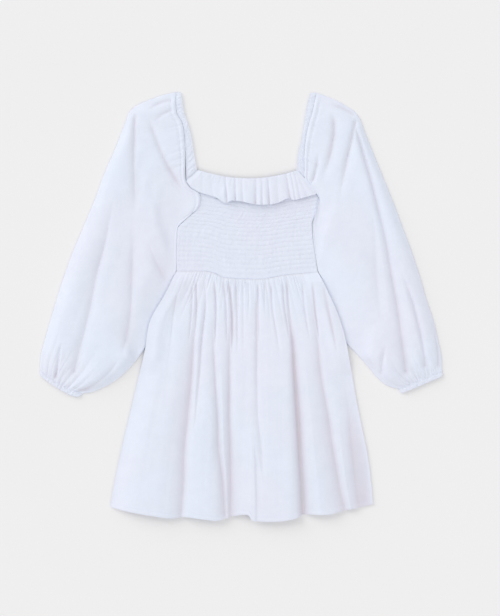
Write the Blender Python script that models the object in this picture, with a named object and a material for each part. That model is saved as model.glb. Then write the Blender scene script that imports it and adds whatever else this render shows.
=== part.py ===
"""A puff sleeve dress with a square ruffled neck, a shirred bodice and a gathered skirt, laid flat, front up.

It is built from the pieces that it is cut and sewn from, each a wall of cloth on its own outline:
+X runs to the picture's right, +Y towards the shoulders and +Z up from the surface that it lies on.
Sizes and places are millimetres on the real dress, from its middle. METRES turns them into Blender's unit.
Left and right are those of someone who looks at the dress from above.
"""

from collections import namedtuple

import bpy
import numpy as np

METRES = 0.001

# Cloth, and how closely the pieces lie
WALL = 1.2
SEAM_GAP = 0.3
SIDE_GAP = 0.8
BACK_TOP = WALL
FRONT_UNDERSIDE = BACK_TOP + SEAM_GAP
LOWEST_FRONT_TOP = FRONT_UNDERSIDE + WALL

# Shirred bodice front
SHIRRING_ROWS = 18
SHIRRING_START = 0.20
SHIRRING_END = 0.955
SHIRRING_VALLEY_TOP = 3.0
SHIRRING_CREST_TOP = 4.2
PUCKER_HEIGHT = 0.35
WAIST_STRIP_TOP = 3.5
WAIST_STRIP_AT = 0.975
BODICE_COLUMNS = 21
BODICE_BELOW_NECKLINE = 2.0
BODICE_ABOVE_WAIST = 1.0
BACK_BELOW_NECKLINE = 3.0
BACK_ABOVE_WAIST = 0.7
BACK_BODICE_COLUMNS = 13
BACK_BODICE_ROWS = 15

# Ruffle, which falls from the neckline over the bodice
RUFFLE_UNDERSIDE = SHIRRING_CREST_TOP + PUCKER_HEIGHT + SEAM_GAP
RUFFLE_RISE_AT_NECK = 0.9
RUFFLE_RISE_AT_EDGE = 4.6
RUFFLE_END_RISE = 0.25
RUFFLE_ABOVE_NECKLINE = 1.0
RUFFLE_COLUMNS = 61
RUFFLE_ROWS = (0.0, 0.2, 0.5, 0.8, 1.0)

# Skirt
SKIRT_TOP_AT_WAIST = 4.6
SKIRT_TOP_AT_HEM = 14.0
SKIRT_SWELLS_UNTIL = 0.75
SKIRT_SWELL_POWER = 0.8
SKIRT_SIDE_TOP = 3.2
SKIRT_SIDE_ROUNDING = 12.0
SKIRT_GATHERS = 36
GATHER_HEIGHT = 1.4
GATHERS_FADE_AT = 0.30
GATHERS_SHIFT = 0.3
GATHERS_SHIFT_WAVES = 5
SKIRT_FINE_COLUMNS = 4 * SKIRT_GATHERS + 1
SKIRT_COLUMNS = 75
SKIRT_FINE_ROWS = (0.0, 0.02, 0.05, 0.09, 0.14)
SKIRT_ROWS = (0.20, 0.27, 0.34, 0.42, 0.52, 0.64, 0.76, 0.88, 0.975, 0.979, 1.0)
HEM_STARTS_AT = 0.977
HEM_FOLD = 0.6
BACK_HEM_SHORTER = 3.0
SKIRT_BACK_SHARES = (0, 0.03, 0.06, 0.08, 0.10, 0.12, 0.145, 0.17, 0.22, 0.35, 0.5)
SKIRT_BACK_ROWS = (0.0, 0.02, 0.05, 0.09, 0.14, 0.20, 0.27, 0.34, 0.42, 0.52, 0.76, 1.0)

# Where the skirt's sides ride over the sleeves: the lift at the side edge, by distance up the dress
LIFT_TABLE = ((-135.0, 0.0), (-100.0, 4.6), (-80.0, 5.2), (50.0, 5.2), (68.0, 0.0))
LIFT_FLAT = 18.0
LIFT_SLOPE = 24.0
LIFT_CLEARANCE = 0.5
LIFT_CLEARANCE_RATE = 4

# Sleeves
SLEEVE_EDGE_TOP = 3.2
SLEEVE_EDGE_MIDDLE = 1.5
SLEEVE_FOLD_WIDTH = 3.0
SLEEVE_FOLD_WALL = 1.7
SLEEVE_OUTER_ROUNDING = 16.0
SLEEVE_INNER_ROUNDING = 46.0
SLEEVE_MOUTH_END = 0.08
SLEEVE_MOUTH_ROUNDING = 0.12
SLEEVE_CREASES_START = 0.04
SLEEVE_LOWEST_TOP = 3.1
SLEEVE_FLOOR_SOFTNESS = 0.6
SLEEVE_TOP_COLUMNS = 29
SLEEVE_UNDER_COLUMNS = 13
SLEEVE_STATIONS = (
    0.0, 0.035, 0.08, 0.125, 0.15, 0.175, 0.22, 0.30, 0.41, 0.52, 0.62, 0.72, 0.81, 0.89, 0.95, 1.0,
)
SLEEVE_GUIDE_STATION = 0.15
SLEEVE_HEIGHTS = (
    (0.0, 5.9), (0.08, 8.8), (0.20, 12.0), (0.50, 14.0), (0.80, 15.5), (0.92, 12.0), (0.97, 8.0),
    (1.0, 5.0),
)
CUFF_GATHERS = 10
CUFF_GATHER_HEIGHT = 1.3
CUFF_GATHERS_START = 0.84
CAP_GATHERS = 7
CAP_GATHER_HEIGHT = 0.5
CAP_GATHERS_END = 0.16
CAP_GATHERED_SHARE = 0.58
GATHERS_END_SHARE = 0.05

# Cuffs and neck bands, both elastic casings
CUFF_TOP = 5.2
CUFF_EDGE_TOP = 3.4
CUFF_WALL = 1.3
CUFF_COLUMNS = 31
CUFF_UNDER_COLUMNS = 9
CUFF_WIDTH = 92.0
CUFF_SEAM_GAP = 0.6
CUFF_PUCKER_HEIGHT = 0.5
CUFF_ROUNDING = 8.0
CUFF_FOLD_WALL = 1.8
CUFF_EDGE_FLATTER = 0.6
CUFF_ROWS = (0.0, 0.5, 1.0)
BAND_TOP = 3.9
BAND_PUCKERS = 9
BAND_PUCKER_HEIGHT = 0.9
BAND_PUCKER_SHARES = (0.5, 1.0, 0.7, 0.1)
BAND_BULGE = 0.5
BAND_START = 0.02
BAND_FOLD_LOWER = 0.6
BAND_FOLD_WALL = 0.5
BAND_FOLD_REACH = 1.3
BAND_LOWER_AT_SHOULDER = 0.9
BAND_SHOULDER_END = 0.06
BAND_PUCKERS_START = 0.1
BAND_TUCK_STARTS = 0.94
BAND_TUCKED_TOP = 3.6
BAND_FRONT_ROWS = 28
BAND_BACK_ROWS = 9
BAND_COLUMNS = 4
BAND_BACK_INSET = 0.14

CREASE_BLUNTNESS = 1.5
CROWDING = 0.6
Crease = namedtuple("Crease", "name start middle end width_start width_end depth fade_in fade_out lean")

# The skirt front's valleys from waist to hem. lean over 0 makes the wall at the picture's left the steeper.
SKIRT_CREASES = (
    Crease("left_valley", (-87, 54), (-107, -75), (-133, -419), 3.0, 10.0, 10.5, 0.10, 0.0, 0.0),
    Crease("left_valley_twin", (-73, 54), (-95, -145), (-117, -417), 3.0, 6.0, 6.5, 0.10, 0.0, 0.0),
    Crease("left_middle_valley", (-61, 54), (-55, -164), (-39, -408), 3.0, 6.5, 7.5, 0.10, 0.0, 0.0),
    Crease("middle_valley", (-32, 54), (-25, -164), (-26, -415), 3.0, 7.5, 11.0, 0.08, 0.0, 0.0),
    Crease("centre_trough", (30, 52), (28, -164), (59, -362), 4.0, 10.0, 5.0, 0.10, 0.35, 0.0),
    Crease("hem_step", (14, -240), (14, -330), (14, -424), 5.0, 9.0, 6.0, 0.50, 0.0, -0.75),
    Crease("deep_valley", (85, 59), (105, -127), (123, -412), 3.2, 8.0, 12.0, 0.08, 0.0, 0.55),
    Crease("right_valley", (139, 54), (154, -115), (200, -404), 3.0, 8.0, 8.5, 0.10, 0.0, 0.0),
    Crease("right_short", (113, 55), (121, 8), (133, -46), 3.0, 3.5, 3.0, 0.15, 0.50, 0.0),
    Crease("right_side_short", (158, 34), (172, -30), (186, -105), 3.5, 5.0, 3.0, 0.20, 0.50, 0.0),
    Crease("centre_short", (52, 52), (59, -16), (73, -89), 2.6, 4.0, 2.6, 0.15, 0.50, 0.0),
    Crease("left_side_dip", (-125, 30), (-139, -65), (-154, -174), 4.0, 8.0, 2.6, 0.20, 0.60, 0.0),
    Crease("left_short", (-109, 44), (-119, -26), (-127, -85), 3.0, 4.0, 2.4, 0.20, 0.50, 0.0),
    Crease("centre_soft", (-4, 52), (2, -46), (6, -184), 3.0, 8.0, 2.6, 0.15, 0.60, 0.0),
    Crease("right_hem_dip", (214, -263), (228, -333), (234, -395), 6.0, 10.0, 2.8, 0.60, 0.0, 0.0),
)

SLEEVE_LEFT_CREASES = (
    Crease("shoulder_dart", (-216, 384), (-212, 303), (-220, 200), 5.0, 12.0, 4.0, 0.15, 0.50, 0.0),
    Crease("outer_valley", (-265, 185), (-300, 54), (-341, -128), 7.0, 8.0, 7.5, 0.40, 0.0, 0.0),
    Crease("inner_valley", (-216, 170), (-224, 14), (-246, -101), 9.0, 12.0, 5.0, 0.40, 0.20, 0.0),
    Crease("inner_cuff_valley", (-240, -95), (-271, -139), (-321, -167), 8.0, 4.0, 4.5, 0.35, 0.0, 0.0),
    Crease("cuff_tuck", (-356, -66), (-364, -105), (-370, -140), 3.5, 3.0, 4.0, 0.50, 0.0, 0.0),
    Crease("elbow_dip", (-172, 103), (-162, 63), (-151, 26), 8.0, 8.0, 3.0, 0.45, 0.45, 0.0),
    Crease("armhole_drag", (-186, 374), (-151, 291), (-109, 222), 4.0, 5.0, 3.4, 0.25, 0.25, 0.0),
    Crease("armhole_drag_short", (-162, 267), (-143, 238), (-117, 218), 3.0, 3.5, 2.2, 0.40, 0.20, 0.0),
    Crease("cap_crease", (-191, 383), (-161, 403), (-133, 408), 4.5, 3.0, 2.6, 0.35, 0.0, 0.0),
    Crease("cap_crease_short", (-175, 364), (-155, 380), (-133, 391), 4.0, 3.0, 2.2, 0.35, 0.0, 0.0),
)

SLEEVE_RIGHT_CREASES = (
    Crease("outer_valley", (236, 366), (283, 158), (329, -125), 5.0, 7.0, 6.5, 0.20, 0.0, 0.0),
    Crease("middle_dip", (257, 261), (263, 89), (277, -46), 9.0, 13.0, 4.0, 0.40, 0.40, 0.0),
    Crease("outer_small", (315, 75), (343, -16), (362, -117), 4.0, 4.5, 4.6, 0.40, 0.0, 0.0),
    Crease("edge_tuck", (376, -6), (386, -65), (391, -115), 3.0, 3.0, 3.6, 0.50, 0.0, 0.0),
    Crease("inner_tuck", (287, -69), (279, -105), (277, -141), 4.0, 4.0, 3.6, 0.50, 0.20, 0.0),
    Crease("shoulder_deep", (224, 374), (210, 311), (194, 212), 4.5, 6.0, 5.2, 0.15, 0.45, 0.0),
    Crease("cap_middle", (176, 384), (178, 331), (156, 247), 4.5, 5.5, 4.6, 0.30, 0.40, 0.0),
    Crease("cap_inner", (152, 311), (147, 275), (137, 240), 3.0, 3.0, 3.0, 0.40, 0.20, 0.0),
    Crease("shoulder_crease", (170, 401), (202, 389), (225, 373), 4.0, 3.0, 2.6, 0.35, 0.20, 0.0),
)

# Ruffle creases from neckline to free edge: the x where each starts and ends
RuffleFold = namedtuple("RuffleFold", "x_neck x_edge width depth")
RUFFLE_FOLDS = (
    RuffleFold(-76, -74, 4.0, 0.7),
    RuffleFold(-57, -53, 5.0, 0.8),
    RuffleFold(-27, -29, 3.5, 1.0),
    RuffleFold(-12, -14, 3.5, 0.6),
    RuffleFold(2, 3, 3.5, 0.7),
    RuffleFold(28, 25, 5.5, 0.9),
    RuffleFold(51, 52, 3.5, 0.7),
    RuffleFold(70, 74, 4.0, 0.6),
    RuffleFold(89, 97, 3.5, 1.0),
    RuffleFold(102, 113, 3.5, 0.7),
    RuffleFold(105, 129, 4.0, 0.6),
)

# Outlines on the plan, each from a few points that the cloth's edge passes through
NECKLINE = (
    (-88, 270), (-60, 262), (-32, 256.5), (-2, 253.5), (30, 253.5), (62, 257.5), (84, 262), (108, 269),
)
WAIST = ((-129, 70), (-60, 68), (-36, 58), (-2, 55), (41, 54.5), (83, 62), (150, 68))
HEM = (
    (-260, -396), (-222, -405), (-182, -412), (-139, -418), (-113, -415), (-73, -420), (-48, -422),
    (-20, -414), (12, -411), (20, -421), (46, -424), (78, -423), (109, -417), (118, -411), (131, -410),
    (174, -410), (200, -403), (230, -397), (259, -390),
)
SKIRT_LEFT_SIDE = (
    (-129.5, 69), (-136, 58), (-153, 24), (-182, -28), (-191.5, -83), (-204, -137), (-218, -196),
    (-232, -255), (-245.5, -315), (-257, -374), (-260, -396),
)
SKIRT_RIGHT_SIDE = (
    (150, 67.5), (157, 56), (173, 24), (191, -17), (205, -65), (213, -108), (226, -184), (238, -243),
    (248, -291), (255.5, -350), (259, -390),
)
BODICE_LEFT_SIDE = (
    (-88, 268), (-98, 257), (-108.3, 246.5), (-100, 233), (-87, 223), (-84.5, 208), (-88.3, 195.5),
    (-97.5, 183.8), (-113.8, 169), (-124.8, 157.5), (-127.2, 135), (-127.8, 105), (-128.3, 71),
)
BODICE_RIGHT_SIDE = (
    (108, 267), (121, 253), (127, 246), (150, 222), (151, 200), (143.4, 180), (138.6, 167),
    (138.2, 156), (139, 140), (144, 103), (149, 69),
)
BACK_LEFT_SIDE = (
    (-88, 267), (-97, 257), (-107, 247.5), (-96, 238), (-81.5, 228), (-79.5, 208), (-85.5, 194.5),
    (-97, 182.5), (-113.3, 168), (-124, 157), (-127, 135), (-127.6, 105), (-128.3, 71),
)
BACK_RIGHT_SIDE = (
    (108, 266), (121, 252), (126, 247), (147.5, 223.5), (145.5, 200), (140.5, 179), (138, 165),
    (138.2, 156), (139, 140), (144, 103), (149, 69),
)
RUFFLE_LEFT_SIDE = ((-87, 271), (-97.5, 262), (-105, 252), (-101, 241.5))
RUFFLE_RIGHT_SIDE = ((109, 270), (128, 247), (147.5, 222.5))
RUFFLE_EDGE = (
    (-101, 241.5), (-82, 228.5), (-52, 216), (-33, 205.5), (-20, 210), (-2, 209), (20, 203.5), (45, 202),
    (69, 205), (84, 212), (93, 215), (101, 211.5), (122, 216), (147.5, 222.5),
)

# Sleeves: the neck edge, then the armhole, make the cap; the outer side is the fold, the inner the seam
CAP_NECK_LEFT = ((-131, 425), (-129, 385), (-117.5, 362), (-112, 307), (-110.5, 250))
ARMHOLE_LEFT = ((-100, 235), (-84, 226), (-82, 208), (-88, 195), (-99, 184))
SLEEVE_LEFT_OUTER = (
    (-131, 425), (-154, 420), (-186, 409), (-211, 397), (-223, 385), (-231.5, 363), (-250, 315),
    (-271, 267), (-293, 208), (-313, 160), (-333, 113), (-350.5, 65), (-366, 18), (-380, -30),
    (-390, -65), (-398, -95), (-400, -126),
)
SLEEVE_LEFT_GUIDE = (
    (-209, 398), (-202, 362), (-193, 325), (-182, 288), (-170, 252), (-158, 215), (-148, 180),
    (-139, 150), (-129.3, 129),
)
SLEEVE_LEFT_INNER = (
    (-99, 184), (-115, 170), (-126.5, 159), (-129, 135), (-129.5, 105), (-131.5, 80), (-137.5, 60),
    (-140, 45), (-146, 24), (-168, -28), (-182, -60), (-192, -82), (-223, -121), (-247.5, -143),
    (-272, -158), (-297, -168), (-316, -171),
)
CUFF_LEFT_SEAM = ((-400, -126), (-367, -149), (-334, -166), (-316, -171))
CUFF_LEFT_EDGE = ((-400.5, -136), (-371, -157), (-338, -175), (-320, -179))
SLEEVE_LEFT_LINES = (
    CAP_NECK_LEFT + ARMHOLE_LEFT,
    SLEEVE_LEFT_GUIDE,
    CUFF_LEFT_SEAM,
    SLEEVE_LEFT_OUTER,
    SLEEVE_LEFT_INNER,
)
BAND_LEFT_SLEEVE_SIDE = CAP_NECK_LEFT[:-1] + ((-110.3, 249.2),)
BAND_LEFT_NECK = ((-121, 425), (-115, 386), (-107, 362), (-101, 339), (-95, 303), (-88.8, 269.3))

CAP_NECK_RIGHT = ((147, 424), (140, 390), (131.5, 360), (125.5, 329), (123, 300), (123.2, 272), (123.4, 256))
ARMHOLE_RIGHT = ((128.5, 249.5), (151, 225), (148, 200), (143, 179), (139.6, 164))
SLEEVE_RIGHT_OUTER = (
    (147, 424), (156, 421), (184, 410), (206, 398), (225, 385), (233.5, 372), (241.5, 350),
    (255.5, 315), (275, 267), (299, 208), (317, 160), (334.5, 113), (350.5, 65), (364, 18), (380, -30),
    (388, -65), (394, -95), (396, -126),
)
SLEEVE_RIGHT_GUIDE = (
    (216, 391), (212, 355), (205, 320), (195, 285), (182, 250), (168, 215), (155, 178), (146, 143),
    (142.5, 118),
)
SLEEVE_RIGHT_INNER = (
    (139.6, 164), (140.8, 140), (145.7, 105), (150.5, 80), (157.5, 60), (161, 45), (166, 24),
    (181, -17), (195, -50), (207, -72), (215, -81), (240, -107), (265, -137), (281, -152), (297, -159),
    (310, -162),
)
CUFF_RIGHT_SEAM = ((396, -126), (353, -144), (325, -156), (310, -162))
CUFF_RIGHT_EDGE = ((399, -136), (357, -154), (329, -166), (314, -172))
SLEEVE_RIGHT_LINES = (
    CAP_NECK_RIGHT + ARMHOLE_RIGHT,
    SLEEVE_RIGHT_GUIDE,
    CUFF_RIGHT_SEAM,
    SLEEVE_RIGHT_OUTER,
    SLEEVE_RIGHT_INNER,
)
BAND_RIGHT_SLEEVE_SIDE = CAP_NECK_RIGHT[:-1] + ((122.9, 254.3),)
BAND_RIGHT_NECK = ((136, 424), (129, 398), (123, 362), (117, 327), (111, 303), (108.5, 269.3))


def smooth_curve(points, samples=14):
    """A curve through the points, as a function that gives places at shares of its length."""
    knots = np.array(points, float)
    before = 2 * knots[0] - knots[1]
    after = 2 * knots[-1] - knots[-2]
    padded = np.vstack([before, knots, after])
    spacing = np.linalg.norm(np.diff(padded, axis=0), axis=1) ** 0.5
    times = np.concatenate([[0.0], np.cumsum(spacing)])
    path = []
    for i in range(1, len(knots)):
        t = np.linspace(times[i], times[i + 1], samples, endpoint=i == len(knots) - 1)[:, None]
        p, k = padded[i - 1:i + 3], times[i - 1:i + 3]
        a1 = p[0] * (k[1] - t) / (k[1] - k[0]) + p[1] * (t - k[0]) / (k[1] - k[0])
        a2 = p[1] * (k[2] - t) / (k[2] - k[1]) + p[2] * (t - k[1]) / (k[2] - k[1])
        a3 = p[2] * (k[3] - t) / (k[3] - k[2]) + p[3] * (t - k[2]) / (k[3] - k[2])
        b1 = a1 * (k[2] - t) / (k[2] - k[0]) + a2 * (t - k[0]) / (k[2] - k[0])
        b2 = a2 * (k[3] - t) / (k[3] - k[1]) + a3 * (t - k[1]) / (k[3] - k[1])
        path.append(b1 * (k[2] - t) / (k[2] - k[1]) + b2 * (t - k[1]) / (k[2] - k[1]))
    path = np.vstack(path)
    along = np.concatenate([[0.0], np.cumsum(np.linalg.norm(np.diff(path, axis=0), axis=1))])
    along /= along[-1]

    def place(shares):
        return np.column_stack([np.interp(shares, along, path[:, axis]) for axis in (0, 1)])

    return place


def patch_row(top, bottom, left, right, across, down):
    """Plan places of one row of a patch with four curved edges (a Coons patch)."""
    u = np.asarray(across, float)[:, None]
    v = down
    rows = (1 - v) * top(across) + v * bottom(across)
    sides = (1 - u) * left([v]) + u * right([v])
    corners = (
        (1 - u) * (1 - v) * top([0.0]) + u * (1 - v) * top([1.0])
        + (1 - u) * v * bottom([0.0]) + u * v * bottom([1.0])
    )
    return rows + sides - corners


def guided_row(cap, guide, seam, outer, inner, across, station):
    """Plan places of one row of a sleeve, whose rows turn from the cap to a guide line near it."""
    at = SLEEVE_GUIDE_STATION
    if station <= at:
        first, last, start, end = cap, guide, 0.0, at
    else:
        first, last, start, end = guide, seam, at, 1.0

    def part_of(side):
        return lambda shares: side(start + (end - start) * np.asarray(shares))

    return patch_row(first, last, part_of(outer), part_of(inner), across, (station - start) / (end - start))


def smoothstep(x):
    x = np.clip(x, 0.0, 1.0)
    return x * x * (3 - 2 * x)


def off_the_ends(shares):
    """1 along a row, and 0 at its two ends."""
    return smoothstep(np.minimum(shares, 1 - shares) / GATHERS_END_SHARE)


def table_value(table, x):
    """The value at x of a table of (x, value) rows."""
    return np.interp(x, [row[0] for row in table], [row[1] for row in table])


def creased(plan, creases):
    """How deep the creases lie below the cloth's general height, at each plan place."""
    depth = np.zeros(len(plan))
    for crease in creases:
        start, middle, end = (np.array(p, float) for p in (crease.start, crease.middle, crease.end))
        control = 2 * middle - (start + end) / 2
        t = np.linspace(0, 1, 40)[:, None]
        line = (1 - t) ** 2 * start + 2 * t * (1 - t) * control + t ** 2 * end
        tangent = np.gradient(line, axis=0)
        tangent /= np.linalg.norm(tangent, axis=1)[:, None]
        offset = plan[:, None, :] - line[None]
        nearest = np.argmin((offset ** 2).sum(axis=2), axis=1)
        pick = np.arange(len(plan))
        away = offset[pick, nearest]
        along = t[nearest, 0]
        side = tangent[nearest, 0] * away[:, 1] - tangent[nearest, 1] * away[:, 0]
        distance = np.linalg.norm(away, axis=1)
        width = crease.width_start + (crease.width_end - crease.width_start) * along
        width = width * (1 + crease.lean * np.tanh(side / 2))
        strength = np.ones(len(plan))
        if crease.fade_in:
            strength *= smoothstep(along / crease.fade_in)
        if crease.fade_out:
            strength *= smoothstep((1 - along) / crease.fade_out)
        blunt = np.sqrt(distance ** 2 + CREASE_BLUNTNESS ** 2) - CREASE_BLUNTNESS
        depth = np.maximum(depth, crease.depth * strength * np.exp(-blunt / width))
    return depth


def crowded_shares(row_plan, creases, count):
    """Shares across a row that crowd where its creases slope."""
    fine = np.linspace(0, 1, 400)
    slope = np.abs(np.gradient(creased(row_plan(fine), creases)))
    density = 1 + CROWDING * slope / max(slope.mean(), 0.01)
    summed = np.concatenate([[0.0], np.cumsum((density[1:] + density[:-1]) / 2)])
    return np.interp(np.linspace(0, 1, count), summed / summed[-1], fine)


def soft_floor(height, floor, softness=1.0):
    """The height, eased so that it never goes below the floor."""
    above = height - floor
    return floor + (above + np.sqrt(above ** 2 + softness ** 2)) / 2


def wall_depth(plan, height, wall=WALL):
    """The wall's depth measured straight down, so that it keeps its thickness on a slope."""
    run = np.linalg.norm(np.gradient(plan, axis=0), axis=1)
    slope = np.gradient(height) / np.maximum(run, 0.5)
    return wall * np.minimum(np.sqrt(1 + slope ** 2), 2.0)


def with_height(plan, height):
    return np.column_stack([plan, np.broadcast_to(height, len(plan))])


class Piece:
    """Collects one closed solid, row by row, and makes it an object."""

    def __init__(self, name, material):
        self.name = name
        self.material = material
        self.points = []
        self.faces = []

    def row(self, places):
        first = sum(len(part) for part in self.points)
        self.points.append(np.asarray(places, float))
        return list(range(first, first + len(places)))

    def join(self, near, far):
        """Faces between two rows, which may have different numbers of points."""
        i = j = 0
        last_i, last_j = len(near) - 1, len(far) - 1
        while i < last_i or j < last_j:
            next_i = (i + 1) / last_i if i < last_i else 9.0
            next_j = (j + 1) / last_j if j < last_j else 9.0
            if abs(next_i - next_j) < 1e-9:
                self.faces.append((near[i], near[i + 1], far[j + 1], far[j]))
                i, j = i + 1, j + 1
            elif next_i < next_j:
                self.faces.append((near[i], near[i + 1], far[j]))
                i += 1
            else:
                self.faces.append((near[i], far[j + 1], far[j]))
                j += 1

    def sheet(self, upper, lower):
        """A wall between an upper and a lower set of rows that run down the dress."""
        for near, far in zip(upper[:-1], upper[1:]):
            self.join(far, near)
        for near, far in zip(lower[:-1], lower[1:]):
            self.join(near, far)
        self.join(upper[0], lower[0])
        self.join(lower[-1], upper[-1])
        self.join([row[0] for row in lower], [row[0] for row in upper])
        self.join([row[-1] for row in upper], [row[-1] for row in lower])

    def slab(self, upper, floor_height):
        """A wall under a set of rows, with a plain flat underside."""
        outline = list(upper[0]) + [row[-1] for row in upper[1:-1]]
        outline += list(reversed(upper[-1])) + [row[0] for row in reversed(upper[1:-1])]
        places = np.vstack(self.points)[outline]
        places[:, 2] = floor_height
        under = self.row(places)
        for near, far in zip(upper[:-1], upper[1:]):
            self.join(far, near)
        count = len(outline)
        for i in range(count):
            n = (i + 1) % count
            self.faces.append((outline[i], outline[n], under[n], under[i]))
        self.faces.append(tuple(under))

    def tube(self, outer, inner):
        """A flattened tube of cloth, open at both ends, from its outer and inner rings."""
        count = len(outer[0])
        for i in range(count):
            n = (i + 1) % count
            for near, far in zip(outer[:-1], outer[1:]):
                self.faces.append((near[i], far[i], far[n], near[n]))
            for near, far in zip(inner[:-1], inner[1:]):
                self.faces.append((near[i], near[n], far[n], far[i]))
            self.faces.append((outer[0][i], outer[0][n], inner[0][n], inner[0][i]))
            self.faces.append((outer[-1][i], inner[-1][i], inner[-1][n], outer[-1][n]))

    def finish(self):
        mesh = bpy.data.meshes.new(self.name)
        mesh.from_pydata((np.vstack(self.points) * METRES).tolist(), [], self.faces)
        mesh.validate()
        mesh.shade_smooth()
        mesh.set_sharp_from_angle(angle=np.radians(50))
        mesh.materials.append(self.material)
        solid = bpy.data.objects.new(self.name, mesh)
        bpy.context.scene.collection.objects.link(solid)
        return solid


def clear_scene():
    for old in list(bpy.data.objects):
        bpy.data.objects.remove(old)


def cloth_material(name, colour, roughness):
    material = bpy.data.materials.new(name)
    material.use_nodes = True
    shader = material.node_tree.nodes["Principled BSDF"]
    shader.inputs["Base Color"].default_value = (*colour, 1.0)
    shader.inputs["Roughness"].default_value = roughness
    shader.inputs["Metallic"].default_value = 0.0
    return material


def side_lift(plan, row_width, shares):
    """How far the skirt's side rises over the sleeve, which lies under its edge."""
    distance = np.minimum(shares, 1 - shares) * row_width
    at_edge = table_value(LIFT_TABLE, plan[:, 1])
    return at_edge * (1 - smoothstep((distance - LIFT_FLAT) / LIFT_SLOPE))


def skirt_height(plan, shares, down):
    """The skirt front's upper surface without its gathers, and the lift that the sleeve gives it."""
    row_width = np.linalg.norm(plan[-1] - plan[0])
    lift = side_lift(plan, row_width, shares)
    swelling = smoothstep(down / SKIRT_SWELLS_UNTIL) ** SKIRT_SWELL_POWER
    general = SKIRT_TOP_AT_WAIST + (SKIRT_TOP_AT_HEM - SKIRT_TOP_AT_WAIST) * swelling
    distance = np.minimum(shares, 1 - shares) * row_width
    rounding = 1 - np.exp(-distance / SKIRT_SIDE_ROUNDING)
    height = SKIRT_SIDE_TOP + (general - SKIRT_SIDE_TOP) * rounding - creased(plan, SKIRT_CREASES)
    return soft_floor(height, LOWEST_FRONT_TOP) + lift, lift


def make_skirt_front(material):
    piece = Piece("skirt_front", material)
    edges = [smooth_curve(points) for points in (WAIST, HEM, SKIRT_LEFT_SIDE, SKIRT_RIGHT_SIDE)]
    waist_drop = np.array([0.0, -SEAM_GAP])
    upper, lower = [], []
    for down in SKIRT_FINE_ROWS + SKIRT_ROWS:
        fine = down in SKIRT_FINE_ROWS
        crowded = crowded_shares(lambda u: patch_row(*edges, u, down), SKIRT_CREASES, SKIRT_COLUMNS)
        shares = np.linspace(0, 1, SKIRT_FINE_COLUMNS) if fine else crowded
        plan = patch_row(*edges, shares, down) + waist_drop
        height, _ = skirt_height(plan, shares, down)
        swell = GATHER_HEIGHT * (1 - smoothstep(down / GATHERS_FADE_AT))
        phase = SKIRT_GATHERS * shares + GATHERS_SHIFT * np.sin(2 * np.pi * GATHERS_SHIFT_WAVES * shares)
        gathers = swell * np.cos(2 * np.pi * phase) * off_the_ends(shares)
        hem = HEM_FOLD if down > HEM_STARTS_AT else 0.0
        upper.append(piece.row(with_height(plan, height + gathers + hem)))
        shares = crowded
        plan = patch_row(*edges, shares, down) + waist_drop
        height, lift = skirt_height(plan, shares, down)
        inside = height - swell - wall_depth(plan, height)
        lowest = FRONT_UNDERSIDE + lift + np.minimum(LIFT_CLEARANCE_RATE * lift, LIFT_CLEARANCE)
        lower.append(piece.row(with_height(plan, np.maximum(inside, lowest))))
    piece.sheet(upper, lower)
    return piece.finish()


def make_skirt_back(material):
    piece = Piece("skirt_back", material)
    hem = [(x, y + BACK_HEM_SHORTER) for x, y in HEM]
    edges = [smooth_curve(points) for points in (WAIST, hem, SKIRT_LEFT_SIDE, SKIRT_RIGHT_SIDE)]
    shares = np.array(SKIRT_BACK_SHARES)
    shares = np.concatenate([shares, 1 - shares[-2::-1]])
    upper, lower = [], []
    for down in SKIRT_BACK_ROWS:
        plan = patch_row(*edges, shares, down) + np.array([0.0, -SEAM_GAP])
        lift = side_lift(plan, np.linalg.norm(plan[-1] - plan[0]), shares)
        upper.append(piece.row(with_height(plan, BACK_TOP + lift)))
        lower.append(piece.row(with_height(plan, lift)))
    piece.sheet(upper, lower)
    return piece.finish()


def make_bodice_front(material):
    piece = Piece("bodice_front", material)
    waist = [(x, y + BODICE_ABOVE_WAIST) for x, y in WAIST]
    neckline = [(x, y - BODICE_BELOW_NECKLINE) for x, y in NECKLINE]
    edges = [smooth_curve(points) for points in (neckline, waist, BODICE_LEFT_SIDE, BODICE_RIGHT_SIDE)]
    pitch = (SHIRRING_END - SHIRRING_START) / SHIRRING_ROWS
    rows = [(0.0, SHIRRING_VALLEY_TOP, 0.0), (SHIRRING_START / 2, WAIST_STRIP_TOP, 0.0)]
    for i in range(SHIRRING_ROWS):
        rows.append((SHIRRING_START + i * pitch, SHIRRING_VALLEY_TOP, 0.0))
        rows.append((SHIRRING_START + (i + 0.5) * pitch, SHIRRING_CREST_TOP, PUCKER_HEIGHT))
    rows.append((SHIRRING_END, SHIRRING_VALLEY_TOP, 0.0))
    rows.append((WAIST_STRIP_AT, WAIST_STRIP_TOP, 0.0))
    rows.append((1.0, SHIRRING_VALLEY_TOP, 0.0))
    shares = np.linspace(0, 1, BODICE_COLUMNS)
    inner = off_the_ends(shares)
    upper = []
    for number, (down, top, pucker) in enumerate(rows):
        plan = patch_row(*edges, shares, down)
        wave = pucker * (-1.0) ** (np.arange(BODICE_COLUMNS) + number // 2)
        height = SHIRRING_VALLEY_TOP + (top - SHIRRING_VALLEY_TOP + wave) * inner
        upper.append(piece.row(with_height(plan, height)))
    piece.slab(upper, FRONT_UNDERSIDE)
    return piece.finish()


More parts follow.
